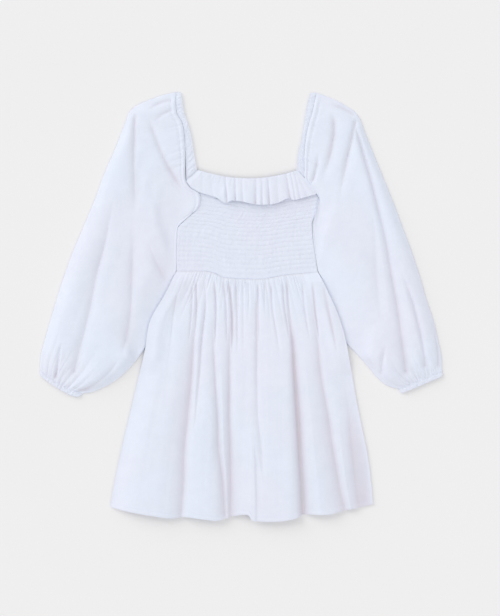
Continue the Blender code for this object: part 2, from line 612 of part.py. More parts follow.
def make_bodice_back(material):
    piece = Piece("bodice_back", material)
    neckline = [(x, y - BACK_BELOW_NECKLINE) for x, y in NECKLINE]
    waist = [(x, y + BACK_ABOVE_WAIST) for x, y in WAIST]
    edges = [smooth_curve(points) for points in (neckline, waist, BACK_LEFT_SIDE, BACK_RIGHT_SIDE)]
    shares = np.linspace(0, 1, BACK_BODICE_COLUMNS)
    upper = []
    for down in np.linspace(0, 1, BACK_BODICE_ROWS):
        upper.append(piece.row(with_height(patch_row(*edges, shares, down), BACK_TOP)))
    piece.slab(upper, 0.0)
    return piece.finish()


def make_ruffle(material):
    piece = Piece("neck_ruffle", material)
    neck = [(x, y + RUFFLE_ABOVE_NECKLINE) for x, y in NECKLINE]
    edges = [smooth_curve(points) for points in (neck, RUFFLE_EDGE, RUFFLE_LEFT_SIDE, RUFFLE_RIGHT_SIDE)]
    shares = np.linspace(0, 1, RUFFLE_COLUMNS)
    lowest = RUFFLE_UNDERSIDE + WALL
    upper, lower = [], []
    for down in RUFFLE_ROWS:
        plan = patch_row(*edges, shares, down)
        rise = RUFFLE_RISE_AT_NECK + (RUFFLE_RISE_AT_EDGE - RUFFLE_RISE_AT_NECK) * down
        dip = np.zeros(len(plan))
        for fold in RUFFLE_FOLDS:
            middle = fold.x_neck + (fold.x_edge - fold.x_neck) * down
            dip = np.maximum(dip, fold.depth * np.exp(-((plan[:, 0] - middle) / fold.width) ** 2))
        full = RUFFLE_END_RISE + (1 - RUFFLE_END_RISE) * off_the_ends(shares)
        height = lowest + rise * (1 - dip) * full
        inside = np.maximum(height - wall_depth(plan, height), RUFFLE_UNDERSIDE)
        upper.append(piece.row(with_height(plan, height)))
        lower.append(piece.row(with_height(plan, inside)))
    piece.sheet(upper, lower)
    return piece.finish()


def flat_ring(plan, top, shares, under_shares, fold_inset, wall):
    """A flattened tube's outer and inner ring at one station, whose plan runs from fold to seam."""
    under = np.column_stack([np.interp(under_shares, shares, plan[:, axis]) for axis in (0, 1)])
    across = (plan[-1] - plan[0]) / np.linalg.norm(plan[-1] - plan[0])
    outer_top = with_height(plan, top)
    outer_top[[0, -1], 2] = SLEEVE_EDGE_MIDDLE
    outer_under = with_height(under, 0.0)[::-1]
    inner_plan = plan.copy()
    inner_plan[0] += across * fold_inset
    inner_plan[-1] -= across * fold_inset
    inside = np.maximum(top - wall_depth(plan, top, wall), wall + SEAM_GAP)
    inner_top = with_height(inner_plan, inside)
    inner_top[[0, -1], 2] = SLEEVE_EDGE_MIDDLE
    inner_under = with_height(under, wall)[::-1]
    return np.vstack([outer_top, outer_under]), np.vstack([inner_top, inner_under])


def tube_shares(width, columns, under_columns):
    """Where a flattened tube's points lie across it, with its two folds rounded."""
    fold = SLEEVE_FOLD_WIDTH / width
    top = np.concatenate([[0.0], np.linspace(fold, 1 - fold, columns - 2), [1.0]])
    under = np.linspace(fold, 1 - fold, under_columns)
    return top, under


def sleeve_height(plan, shares, station, creases):
    width = np.linalg.norm(np.diff(plan, axis=0), axis=1).sum()
    puff = table_value(SLEEVE_HEIGHTS, station)
    outer_side = 1 - np.exp(-shares * width / SLEEVE_OUTER_ROUNDING)
    inner_side = 1 - np.exp(-((1 - shares) * width / SLEEVE_INNER_ROUNDING) ** 2)
    mouth = 1 - smoothstep(station / SLEEVE_MOUTH_END)
    inner_side = inner_side + (1 - inner_side) * mouth * smoothstep((1 - shares) / SLEEVE_MOUTH_ROUNDING)
    height = SLEEVE_EDGE_TOP + (puff - SLEEVE_EDGE_TOP) * outer_side * inner_side
    cuff = CUFF_GATHER_HEIGHT * smoothstep((station - CUFF_GATHERS_START) / (1 - CUFF_GATHERS_START))
    height += cuff * np.cos(2 * np.pi * CUFF_GATHERS * shares) * off_the_ends(shares)
    cap = CAP_GATHER_HEIGHT * (1 - smoothstep(station / CAP_GATHERS_END))
    in_cap = smoothstep(shares / GATHERS_END_SHARE)
    in_cap *= smoothstep((CAP_GATHERED_SHARE - shares) / GATHERS_END_SHARE)
    height += cap * np.cos(2 * np.pi * CAP_GATHERS * shares / CAP_GATHERED_SHARE) * in_cap
    valley = creased(plan, creases) * smoothstep(station / SLEEVE_CREASES_START)
    return soft_floor(height - valley, SLEEVE_LOWEST_TOP, SLEEVE_FLOOR_SOFTNESS)


def make_sleeve(name, lines, creases, material, mirrored):
    """lines are the cap, the guide, the seam at the cuff, the outer side and the inner side."""
    piece = Piece(name, material)
    lines = [smooth_curve(points) for points in lines]
    outer_rings, inner_rings = [], []
    for station in SLEEVE_STATIONS:
        rough = guided_row(*lines, np.linspace(0, 1, 60), station)
        width = np.linalg.norm(np.diff(rough, axis=0), axis=1).sum()
        shares, under_shares = tube_shares(width, SLEEVE_TOP_COLUMNS, SLEEVE_UNDER_COLUMNS)
        plan = guided_row(*lines, shares, station)
        height = sleeve_height(plan, shares, station, creases)
        rings = flat_ring(plan, height, shares, under_shares, SLEEVE_FOLD_WALL, WALL)
        if mirrored:
            rings = [ring[::-1] for ring in rings]
        outer_rings.append(piece.row(rings[0]))
        inner_rings.append(piece.row(rings[1]))
    piece.tube(outer_rings, inner_rings)
    return piece.finish()


def make_cuff(name, seam, edge, material, mirrored):
    """The elastic casing at a sleeve's end."""
    piece = Piece(name, material)
    seam_line, edge_line = smooth_curve(seam), smooth_curve(edge)
    outer_rings, inner_rings = [], []
    shares, under_shares = tube_shares(CUFF_WIDTH, CUFF_COLUMNS, CUFF_UNDER_COLUMNS)
    for down in CUFF_ROWS:
        plan = (1 - down) * seam_line(shares) + down * edge_line(shares)
        away = edge_line([0.5])[0] - seam_line([0.5])[0]
        plan += away / np.linalg.norm(away) * CUFF_SEAM_GAP * (1 - down)
        distance = np.minimum(shares, 1 - shares) * CUFF_WIDTH
        height = CUFF_EDGE_TOP + (CUFF_TOP - CUFF_EDGE_TOP) * (1 - np.exp(-distance / CUFF_ROUNDING))
        gathers = CUFF_PUCKER_HEIGHT * np.cos(2 * np.pi * CUFF_GATHERS * shares)
        height += gathers * off_the_ends(shares) * (1 - CUFF_EDGE_FLATTER * down)
        rings = flat_ring(plan, height, shares, under_shares, CUFF_FOLD_WALL, CUFF_WALL)
        if mirrored:
            rings = [ring[::-1] for ring in rings]
        outer_rings.append(piece.row(rings[0]))
        inner_rings.append(piece.row(rings[1]))
    piece.tube(outer_rings, inner_rings)
    return piece.finish()


def make_band(name, sleeve_side, neck_side, material, side):
    """An elastic casing from the ruffle over the shoulder to the back. side is -1 at the picture's left."""
    piece = Piece(name, material)
    sleeve_line = smooth_curve([(x - side * SIDE_GAP, y) for x, y in sleeve_side])
    neck_line = smooth_curve(neck_side)
    upper, lower = [], []

    def add(down, top, inside, reach, inset=0.0):
        near_sleeve, near_neck = sleeve_line([down])[0], neck_line([down])[0]
        near_sleeve = near_sleeve + (near_neck - near_sleeve) * inset
        start, end = (near_sleeve, near_neck) if side < 0 else (near_neck, near_sleeve)
        plan = start + (end - start) * np.linspace(0, 1, BAND_COLUMNS)[:, None]
        plan[:, 1] += reach[0]
        upper.append(piece.row(with_height(plan, top)))
        plan = plan.copy()
        plan[:, 1] += reach[1] - reach[0]
        lower.append(piece.row(with_height(plan, inside)))

    bulge = BAND_BULGE * np.sin(np.linspace(0, np.pi, BAND_COLUMNS))
    for down in np.linspace(1, BAND_START, BAND_BACK_ROWS):
        add(down, 0.0, WALL, (0.0, 0.0), BAND_BACK_INSET)
    fold_top = FRONT_UNDERSIDE - BAND_FOLD_LOWER
    add(0.0, fold_top, fold_top + BAND_FOLD_WALL, (0.0, -BAND_FOLD_REACH))
    for down in np.linspace(BAND_START, 1, BAND_FRONT_ROWS):
        pucker = BAND_PUCKER_HEIGHT * np.cos(2 * np.pi * BAND_PUCKERS * down)
        pucker *= smoothstep(down / BAND_PUCKERS_START)
        shoulder = BAND_LOWER_AT_SHOULDER * (1 - smoothstep(down / BAND_SHOULDER_END))
        top = BAND_TOP + pucker * np.array(BAND_PUCKER_SHARES) + bulge - shoulder
        tucked = smoothstep((down - BAND_TUCK_STARTS) / (1 - BAND_TUCK_STARTS))
        top += (BAND_TUCKED_TOP - top) * tucked
        add(down, top, FRONT_UNDERSIDE, (0.0, 0.0))
    piece.sheet(upper, lower)
    return piece.finish()


def rest_on_origin(solids):
    """Puts the middle of the dress's box over the origin, and its lowest point on the surface."""
    corners = np.vstack([[v.co[:] for v in solid.data.vertices] for solid in solids])
    low, high = corners.min(axis=0), corners.max(axis=0)
    middle = (low + high) / 2
    for solid in solids:
        solid.location = (-middle[0], -middle[1], -low[2])


def main():
    clear_scene()
    cotton = cloth_material("white_cotton", (0.86, 0.88, 0.94), 0.85)
    shirred = cloth_material("shirred_cotton", (0.84, 0.85, 0.92), 0.88)
    casing = cloth_material("elastic_casing", (0.83, 0.84, 0.92), 0.88)
    solids = [
        make_bodice_back(cotton),
        make_bodice_front(shirred),
        make_ruffle(cotton),
        make_skirt_back(cotton),
        make_skirt_front(cotton),
        make_sleeve("sleeve_left", SLEEVE_LEFT_LINES, SLEEVE_LEFT_CREASES, cotton, False),
        make_sleeve("sleeve_right", SLEEVE_RIGHT_LINES, SLEEVE_RIGHT_CREASES, cotton, True),
        make_cuff("cuff_left", CUFF_LEFT_SEAM, CUFF_LEFT_EDGE, casing, False),
        make_cuff("cuff_right", CUFF_RIGHT_SEAM, CUFF_RIGHT_EDGE, casing, True),
        make_band("neck_band_left", BAND_LEFT_SLEEVE_SIDE, BAND_LEFT_NECK, casing, -1),
        make_band("neck_band_right", BAND_RIGHT_SLEEVE_SIDE, BAND_RIGHT_NECK, casing, 1),
    ]
    rest_on_origin(solids)


main()
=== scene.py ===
"""The looks of a puff sleeve dress laid flat: detailed cloth pieces, materials, light and the camera.

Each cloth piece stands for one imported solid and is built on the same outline.
Places and heights are millimetres on the dress, as in the part's own source.
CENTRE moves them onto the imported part.
Left and right are those of someone who looks at the dress from above.
"""

from collections import namedtuple

import bpy
import numpy as np
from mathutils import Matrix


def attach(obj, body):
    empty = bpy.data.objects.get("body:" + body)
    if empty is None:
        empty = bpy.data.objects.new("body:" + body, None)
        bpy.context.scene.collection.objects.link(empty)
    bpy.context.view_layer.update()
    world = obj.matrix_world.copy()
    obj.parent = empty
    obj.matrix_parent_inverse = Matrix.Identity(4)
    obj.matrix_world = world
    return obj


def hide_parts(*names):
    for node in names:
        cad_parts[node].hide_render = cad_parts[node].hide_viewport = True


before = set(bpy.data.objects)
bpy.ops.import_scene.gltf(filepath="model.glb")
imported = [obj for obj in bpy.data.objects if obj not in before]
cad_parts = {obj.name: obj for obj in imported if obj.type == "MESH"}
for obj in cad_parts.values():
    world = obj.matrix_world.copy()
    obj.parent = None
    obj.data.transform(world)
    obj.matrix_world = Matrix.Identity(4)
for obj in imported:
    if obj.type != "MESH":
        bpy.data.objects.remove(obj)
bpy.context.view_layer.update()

METRES = 0.001
CENTRE = np.array([0.75, -0.2574])

# Rows of the tables. A seed below is added to that of the piece, where it has one.
Crease = namedtuple("Crease", "start middle end width_start width_end depth fade_in fade_out lean")
RuffleFold = namedtuple("RuffleFold", "x_neck x_edge width depth")
Gathers = namedtuple("Gathers", "pitch height longest shortest seed")
Noise = namedtuple("Noise", "height cell_across cell_down seed shift", defaults=(0.0,))
Ridge = namedtuple("Ridge", "height at width")
Stitch = namedtuple("Stitch", "pitch length thick")
Light = namedtuple("Light", "name strength spread tilt turn")

# Cloth, and how closely the pieces lie
WALL = 1.0
LEAST_WALL = 0.7
BACK_TOP = 1.2
FRONT_UNDERSIDE = 1.5
LOWEST_FRONT_TOP = 2.7
SEAM_GAP = 0.3
SIDE_GAP = 0.3
SIDE_SEAM_REACH_LEFT = 1.3
SIDE_SEAM_REACH_RIGHT = 0.8
SIDE_SEAM_TOP = 163.0
SIDE_SEAM_FADE = 8.0
SIDE_SEAM_POWER = 4
ROUNDING_POWER = 1.5
SHARP_ANGLE = 60.0
THREAD_ABOVE_CLOTH = 0.10
THREAD_ABOVE_HEM = 0.12

# How creases, gathers and noise are formed. The widths and scatter of gathers are shares of a pitch.
NOISE_CELLS = 64
WANDER_CELL = 70.0
WANDER_REACH = 2.6
CREASE_SAMPLES = 40
CREASE_BLUNTNESS = 1.2
CREASE_WIDENS = 1.4
CREASE_LEANS_WITHIN = 2.0
GATHER_BLUNTNESS = 0.45
GATHER_SCATTER = 0.38
GATHER_LENGTH_POWER = 2.2
GATHER_DEPTHS = (0.30, 1.0)
GATHER_WIDTHS = (0.18, 0.30)
GATHER_DRIFT = 0.05
GATHER_WIDENS = 1.6
GATHER_FADE_POWER = 0.7

# Painted shade in the folds: the colour that the cloth's colour is multiplied by in the depths of the folds
FOLD_SHADE_COLOUR = (0.80, 0.70, 0.68)
FOLD_SHADE_POWER = 1.5
SHALLOWEST_FOLD = 1.0

# Skirt. Rows are shares of its length where a stretch of the grid starts, each with its number of rows.
SKIRT_COLUMNS = 401
SKIRT_ROWS = ((0.0, 36), (0.12, 112), (0.968, 13))
SKIRT_BACK_COLUMNS = 121
SKIRT_BACK_ROWS = 81
SKIRT_INSIDE_STEPS = (3, 2)
SKIRT_TOP_AT_WAIST = 4.6
SKIRT_TOP_AT_HEM = 14.0
SKIRT_SWELLS_UNTIL = 0.75
SKIRT_SWELL_POWER = 0.8
SKIRT_SIDE_TOP = 3.2
SKIRT_SIDE_ROUNDING = 26.0
SKIRT_RIGHT_ROUNDER = 10.0
# The painted fold shade on the skirt is full where its cloth comes down to this height
SKIRT_SHADE_FLOOR = LOWEST_FRONT_TOP - 1.0
SKIRT_SEED = 11
WAIST_LENGTH = 280.0
SKIRT_LENGTH = 470.0
WAIST_SEAM_RISE_LEFT = 1.88
WAIST_SEAM_RISE_RIGHT = 1.38
WAIST_SEAM_RISE_UNTIL = 0.06
WAIST_FULLNESS = 1.9
# How much of the waist's fullness counts as smooth surface for the painted fold shade
WAIST_FULLNESS_UNSHADED = 1.3
WAIST_FULLNESS_REACH = 200.0
GATHERS_IN_WAIST_SEAM = 0.35
GATHERS_FULL_FROM = 8.0
WAIST_SEAM_DIP = 0.9
WAIST_SEAM_DIP_REACH = 6.0
SKIRT_GATHERS = (Gathers(3.9, 2.6, 120.0, 12.0, 21), Gathers(11.0, 2.2, 200.0, 40.0, 22))
SKIRT_BROAD_NOISE = (Noise(0.6, 11.5, 240.0, 31, 3.3), Noise(0.2, 5.0, 120.0, 32))
SKIRT_BROAD_NOISE_FROM = 0.10
SKIRT_BROAD_NOISE_FADE = 0.45
SKIRT_FINE_NOISE = (Noise(0.07, 13.0, 19.0, 33), Noise(0.06, 5.0, 7.0, 34))
HEM_STARTS_AT = 0.9775
HEM_FOLD = 0.6
HEM_FOLD_STEP = 0.004
HEM_STITCHES_AT = HEM_STARTS_AT + 0.0035
HEM_GROOVE = (Ridge(-0.35, HEM_STITCHES_AT, 0.0022),)
HEM_EDGE_FROM = 0.9955
HEM_EDGE_DIP = 0.5
BACK_HEM_SHORTER = 3.0

# The skirt's sides lie over the sleeves: how far they rise at each height on the dress
LIFT_TABLE = ((-135.0, 0.0), (-100.0, 4.6), (-80.0, 5.2), (50.0, 5.2), (68.0, 0.0))
LIFT_FLAT = 18.0
LIFT_SLOPE = 24.0
LIFT_CLEARANCE = 0.5
LIFT_CLEARANCE_RATE = 4

# Shirred bodice front. Its rows of elastic thread are valleys, with puffed and puckered cloth between them.
SHIRRING_ROWS = 18
SHIRRING_START = 0.20
SHIRRING_END = 0.955
SHIRRING_FADE = 0.4
GRID_ROWS_PER_SHIRRING = 10
BODICE_ROWS_ABOVE = 16
BODICE_ROWS_BELOW = 12
BODICE_COLUMNS = 281
BODICE_INSIDE_STEPS = (6, 3)
BODICE_WIDTH = 270.0
BODICE_ABOVE_WAIST = 0.52
BODICE_BELOW_NECKLINE = 2.0
BODICE_LOWEST_TOP = FRONT_UNDERSIDE + 0.9
BODICE_FLOOR_SOFTNESS = 0.4
BODICE_SIDE_FADE = 0.008
BODICE_TOP_FADE = 0.015
BODICE_WAIST_FADE = 0.01
SHIRRING_VALLEY_TOP = 2.9
SHIRRING_CREST_RISE = 1.0
SHIRRING_PUFF_POWER = 0.9
SHIRRING_BOW = (Noise(0.10, 26.0, 3.0, 41),)
SHIRRING_STRENGTH = (Noise(0.28, 22.0, 1 / 7.3, 42),)
PUCKERS = (Noise(1.0, 2.9, 1 / 5.7, 43, 0.31), Noise(0.7, 1.7, 1 / 3.9, 44, 0.77))
PUCKER_LEANS = (1.1, -1.1)
PUCKER_HEIGHT = 0.24
PUCKERS_IN_VALLEY = 0.35
LONG_PUCKERS = (Noise(0.24, 3.4, 5.0, 45),)
STRIP_RISE = 0.55
STRIP_NOISE = (Noise(0.28, 3.1, 1 / 14.0, 46),)
NECKLINE_LENGTH = 198.0

# Bodice back
BACK_BELOW_NECKLINE = 3.0
BACK_ABOVE_WAIST = 0.7
BODICE_BACK_COLUMNS = 61
BODICE_BACK_ROWS = 51

# Ruffle
RUFFLE_COLUMNS = 261
RUFFLE_ROWS = ((0.0, 44), (0.94, 8))
RUFFLE_INSIDE_STEPS = (2, 1)
RUFFLE_ABOVE_NECKLINE = 1.0
RUFFLE_UNDERSIDE = 4.85
RUFFLE_LOWEST_TOP = RUFFLE_UNDERSIDE + WALL
RUFFLE_FLOOR_SOFTNESS = 0.5
# The painted fold shade on the ruffle is full where its cloth comes down to this height
RUFFLE_SHADE_FLOOR = RUFFLE_LOWEST_TOP - 0.5
RUFFLE_RISE_AT_NECK = 0.9
RUFFLE_RISE_AT_EDGE = (
    (0.0, 0.5), (0.16, 0.6), (0.27, 1.6), (0.31, 4.4), (0.50, 4.6), (0.66, 4.2), (0.75, 3.0),
    (0.88, 2.2), (1.0, 0.9),
)
RUFFLE_FULLNESS = 0.8
# How much of the ruffle's fullness counts as smooth surface for the painted fold shade
RUFFLE_FULLNESS_UNSHADED = 0.5
RUFFLE_FOLD_POWER = 1.5
RUFFLE_END_FADE = 0.05
RUFFLE_END_RISE = 0.25
RUFFLE_LENGTH = 48.0
RUFFLE_GATHERS = (Gathers(4.2, 1.0, 40.0, 8.0, 51),)
RUFFLE_GATHER_RISE = 0.9
RUFFLE_BROAD_NOISE = (Noise(0.55, 8.0, 1 / 1.2, 52),)
RUFFLE_FINE_NOISE = (Noise(0.12, 2.6, 1 / 9.0, 53),)
RUFFLE_STITCHES_AT = 0.935
RUFFLE_GROOVE = (Ridge(-0.30, RUFFLE_STITCHES_AT, 0.012),)

# Sleeves. Stations are shares of the length from the cap to the cuff.
SLEEVE_STATIONS = ((0.0, 20), (0.05, 160), (0.84, 56))
SLEEVE_TOP_COLUMNS = 150
SLEEVE_UNDER_COLUMNS = 24
SLEEVE_WIDTH_SAMPLES = 60
SLEEVE_INSIDE_STEP = 10
TUBE_INSIDE_COLUMNS = 2
TUBE_ROUNDING = 3.4
TUBE_TURNS = 7
TUBE_UNDER_TURNS = 5
TUBE_LEAST_HOLLOW = 0.15
SLEEVE_EDGE_TOP = 3.2
SLEEVE_EDGE_MIDDLE = 1.5
SLEEVE_FOLD_WALL = 1.7
SLEEVE_LOWEST_TOP = SLEEVE_EDGE_TOP - 0.1
SLEEVE_FLOOR_SOFTNESS = 0.6
# Painted fold shade on the sleeves: full where the cloth comes down to this height, and eased in over this
# reach from the cap
SLEEVE_SHADE_FLOOR = SLEEVE_EDGE_TOP - 2.0
SLEEVE_SHADE_FROM = 12.0
SEWN_SIDE_SHARPER = 3.0
SEWN_SIDE_ABOVE = 58.0
SEWN_SIDE_FADE = 12.0
SLEEVE_OUTER_ROUNDING = 15.0
SLEEVE_INNER_ROUNDING = 46.0
SLEEVE_INNER_POWER = 2
BODICE_SIDE_FROM = 78.0
BODICE_SIDE_REACH = 40.0
BODICE_SIDE_ROUNDING = 84.0
FREE_INNER_SIDE_BELOW = -80.0
FREE_INNER_SIDE_REACH = 30.0
FREE_INNER_ROUNDING = 12.0
MOUTH_UNTIL = 0.08
MOUTH_SIDE = 0.12
SLEEVE_LENGTH = 560.0
SLEEVE_GUIDE_STATION = 0.15
SLEEVE_HEIGHTS = (
    (0.0, 5.9), (0.08, 8.8), (0.20, 12.0), (0.50, 14.0), (0.80, 15.5), (0.92, 12.0), (0.97, 8.0),
    (1.0, 5.0),
)
SLEEVE_BROAD_NOISE = (Noise(1.3, 1 / 5.0, 1 / 4.5, 3), Noise(0.6, 1 / 11.0, 1 / 6.0, 4))
SLEEVE_BROAD_NOISE_FROM = 60.0
SLEEVE_FINE_NOISE = (Noise(0.16, 14.0, 14.0, 5), Noise(0.08, 5.0, 5.0, 6))
SLEEVE_WANDER_SEED = 7
SLEEVE_CREASES_FROM = 0.03
CAP_GATHERED_SHARE = 0.58
CAP_LENGTH = 260.0
CAP_GATHERS = (Gathers(6.5, 1.5, 70.0, 10.0, 2),)
CAP_FULLNESS = 0.6
CAP_FULLNESS_REACH = 70.0
CUFF_GATHERS = (Gathers(3.6, 1.9, 120.0, 14.0, 0), Gathers(9.0, 2.8, 190.0, 40.0, 1))
CUFF_FULLNESS = 1.1
# How much of the cuff's fullness counts as smooth surface for the painted fold shade
CUFF_FULLNESS_UNSHADED = 0.7
CUFF_FULLNESS_REACH = 190.0
GATHERS_START_WITHIN = 3.0
SEAM_STITCHES_AT = 9.5
SEAM_RIM = (Ridge(0.9, 4.5, 2.6), Ridge(-0.9, SEAM_STITCHES_AT, 2.2))
SEAM_RIM_OUTER_FROM = 0.02
SEAM_RIM_OUTER_FADE = 0.05
SEAM_RIM_INNER_FADE = 0.03
SIDE_SEAM_RIM_FROM = 15.0
ARMHOLE_DIP = 1.2
ARMHOLE_DIP_REACH = 1.3
ARMHOLE_STITCHES_FROM = 0.03

# Cuffs
CUFF_ROWS = 22
CUFF_COLUMNS = 111
CUFF_UNDER_COLUMNS = 31
CUFF_INSIDE_STEP = 4
CUFF_WIDTH = 92.0
CUFF_WALL = 1.1
CUFF_FOLD_WALL = 1.8
CUFF_SEAM_GAP = 0.05
CUFF_CORNER_ROUNDING = 3.0
CUFF_CORNER_WIDTH = 3.0
CUFF_SIDE_ROUNDING = 8.0
CUFF_SIDE_TOP = 3.6
CUFF_RISE = 1.8
CUFF_LOWEST_TOP = 2.9
CUFF_FLOOR_SOFTNESS = 0.4
CUFF_PUCKERS = (Noise(1.0, 2.3, 1 / 1.5, 0), Noise(0.6, 1.4, 1 / 2.5, 1))
CUFF_PUCKER_HEIGHT = 0.80
CUFF_PUCKERS_AT_EDGES = 0.6
CUFF_STITCHES_AT = 0.22
CUFF_GROOVE = (Ridge(-0.55, CUFF_STITCHES_AT, 0.07),)
CUFF_EDGE_FROM = 0.9
CUFF_EDGE_DIP = 0.9

# Elastic casings at the neck, from the ruffle over the shoulder to the back
BAND_COLUMNS = 13
BAND_BACK_ROWS = 26
BAND_FRONT_ROWS = 150
BAND_FOLD_TURNS = 7
BAND_FOLD_UNTIL = 0.012
BAND_BACK_INSET = 0.14
BAND_FOLD_BACK_FROM = 1.6
BAND_FOLD_REACH_OUTSIDE = 1.5
BAND_FOLD_REACH_INSIDE = 0.2
BAND_TOP_AT_FOLD = 3.0
BAND_FULL_FROM = 0.06
BAND_RISE = 1.15
BAND_BULGE = 0.45
BAND_PUCKERS = (Noise(1.0, 1 / 52.0, 1 / 1.6, 0), Noise(0.6, 1 / 90.0, 1 / 2.3, 1))
BAND_PUCKER_HEIGHT = 0.95
BAND_PUCKERS_AT_EDGES = 0.35
BAND_STITCH_COLUMNS = (2, 10)
BAND_GROOVES = (Ridge(-0.35, 0.14, 0.06), Ridge(-0.35, 0.86, 0.06))
BAND_TUCK_STARTS = 0.945
BAND_TUCKED_TOP = 3.6
BAND_LOWEST_TOP = FRONT_UNDERSIDE + 0.7
BAND_FLOOR_SOFTNESS = 0.3

# Stitches: heights in shares of the thread's thickness, the shoulder in shares of the stitch's length
SHIRRING_STITCH = Stitch(3.2, 2.5, 0.22)
SEAM_STITCH = Stitch(3.0, 2.4, 0.22)
RUFFLE_STITCH = Stitch(3.0, 2.4, 0.20)
CASING_STITCH = Stitch(2.8, 2.2, 0.20)
STITCH_RISE = 0.45
STITCH_SINKS = 0.3
STITCH_SHOULDER = 0.27

# Colours. The two tints of each cotton are close, and it changes from one to the other across the cloth.
COTTON_TINTS = ((0.800, 0.860, 0.965), (0.815, 0.840, 0.945))
# Painted shade: the shirred bodice, cuffs and casings take this slightly darker copy of the cotton's tints,
# for the shade of their puckers
PUCKER_SHADED_TINTS = ((0.790, 0.845, 0.950), (0.800, 0.825, 0.935))
WHITE = (1.0, 1.0, 1.0)
MOTTLED = (0.965, 0.965, 0.972)
THREAD_SHADOW = (0.955, 0.955, 0.965)
STITCH_TINTS = ((0.74, 0.76, 0.84), (0.86, 0.88, 0.94))
FLOOR_TINTS = ((0.868, 0.868, 0.868), (0.872, 0.872, 0.872))
SKY_COLOUR = (1.0, 0.99, 1.0, 1.0)

# Cotton: how its weave turns on sleeves and casings, in radians, then its textures. Sizes are in metres.
GRAIN_LEFT_SLEEVE = 0.42
GRAIN_RIGHT_SLEEVE = -0.40
GRAIN_CASING = 0.2
WEAVE_PITCH = 0.00055
PITCH_AT_SCALE_ONE = 0.314159
THREAD_STRETCH = 0.06
SLUB_SCALE = 900.0
SLUB_BASE = 0.45
BROAD_TINT_SCALE = 5.0
MOTTLE_SCALE = 42.0
FUZZ_SCALE = 260.0
WEAVE_RELIEF = 0.45
RELIEF_DISTANCE = 0.00025
RELIEF_STRENGTH = 0.30
TWIST_SCALE = 900.0
TWIST_RELIEF_DISTANCE = 0.0001
MIX_INPUTS = (6, 7)
MIX_OUTPUT = 2

# Light. Tilt is from straight above, and turn is from the picture's left, all in degrees.
SKY_STRENGTH = 0.66
LIGHTS = (
    Light("window_wall", 1.25, 40.0, 66.0, 40.0),
    Light("ceiling_bounce", 0.68, 60.0, 35.0, 228.0),
)

# Stage and camera, in metres
FLOOR_HALF = 4.0
FLOOR_BELOW = -0.0001
CAMERA_SENSOR = 36.0
CAMERA_LENS = 120.0
CAMERA_REACH = 50.0
PICTURE_HEIGHT = 1.2197
PICTURE_CENTRE = (0.0166, -0.0023)

# The skirt front's valleys from waist to hem. lean over 0 makes the wall at the picture's left the steeper.
SKIRT_CREASES = (
    Crease((-82, 54), (-98, -110), (-122, -421), 2.2, 16.0, 8.4, 0.85, 0.0, -0.35),
    Crease((-70, 54), (-81, -100), (-104, -330), 1.8, 6.0, 3.8, 0.30, 0.40, 0.0),
    Crease((-54, 54), (-52, -164), (-33, -412), 2.2, 13.0, 8.2, 0.75, 0.0, 0.0),
    Crease((-25, 54), (-25, -164), (-23, -415), 2.4, 15.0, 9.2, 0.80, 0.0, 0.0),
    Crease((30, 52), (30, -164), (48, -392), 2.2, 9.0, 3.2, 0.15, 0.25, 0.0),
    Crease((20, -240), (28, -330), (29, -424), 4.0, 15.0, 2.4, 0.50, 0.0, 0.80),
    Crease((84, 59), (103, -127), (122, -412), 2.4, 12.5, 13.0, 0.75, 0.0, 0.25),
    Crease((134, 54), (154, -115), (204, -404), 2.2, 19.0, 8.0, 0.90, 0.0, -0.40),
    Crease((200, -120), (220, -285), (232, -395), 8.0, 28.0, 5.2, 0.60, 0.0, 0.0),
    Crease((-125, 30), (-137, -35), (-150, -140), 1.8, 3.6, 1.8, 0.20, 0.60, 0.0),
    Crease((-98, 50), (-101, -35), (-112, -110), 1.4, 2.6, 2.4, 0.15, 0.50, 0.0),
    Crease((-90, 56), (-91, -36), (-98, -130), 1.5, 2.8, 3.4, 0.12, 0.50, 0.0),
    Crease((-72, 54), (-73, -30), (-80, -100), 1.4, 2.4, 1.4, 0.12, 0.50, 0.0),
    Crease((-53, 56), (-52, -36), (-52, -130), 1.5, 2.6, 3.6, 0.12, 0.50, 0.0),
    Crease((-36, 54), (-31, -35), (-28, -110), 1.4, 2.4, 2.6, 0.12, 0.50, 0.0),
    Crease((-27, 56), (-21, -36), (-23, -130), 1.5, 2.8, 4.6, 0.12, 0.50, 0.0),
    Crease((-12, 54), (-11, -35), (-10, -110), 1.4, 2.4, 2.2, 0.12, 0.50, 0.0),
    Crease((2, 54), (1, -35), (2, -120), 1.4, 3.0, 1.2, 0.12, 0.60, 0.0),
    Crease((12, 54), (12, 10), (10, -40), 1.2, 2.0, 1.8, 0.12, 0.60, 0.0),
    Crease((44, 52), (45, 10), (48, -30), 1.2, 2.0, 1.8, 0.12, 0.60, 0.0),
    Crease((31, 54), (31, -35), (30, -110), 1.4, 2.6, 2.6, 0.12, 0.50, 0.0),
    Crease((56, 52), (65, -32), (76, -110), 1.4, 2.6, 2.4, 0.12, 0.50, 0.0),
    Crease((78, 55), (89, -30), (95, -90), 1.4, 2.4, 3.2, 0.12, 0.50, 0.0),
    Crease((86, 58), (97, -34), (104, -120), 1.5, 2.8, 3.6, 0.12, 0.50, 0.0),
    Crease((118, 55), (127, -30), (138, -90), 1.4, 2.2, 2.0, 0.12, 0.50, 0.0),
    Crease((138, 54), (147, -35), (155, -110), 1.5, 2.8, 3.4, 0.12, 0.50, 0.0),
    Crease((160, 50), (175, -30), (193, -120), 1.6, 3.4, 3.0, 0.15, 0.50, 0.0),
    Crease((182, 10), (196, -38), (208, -100), 1.6, 3.0, 2.4, 0.20, 0.50, 0.0),
)

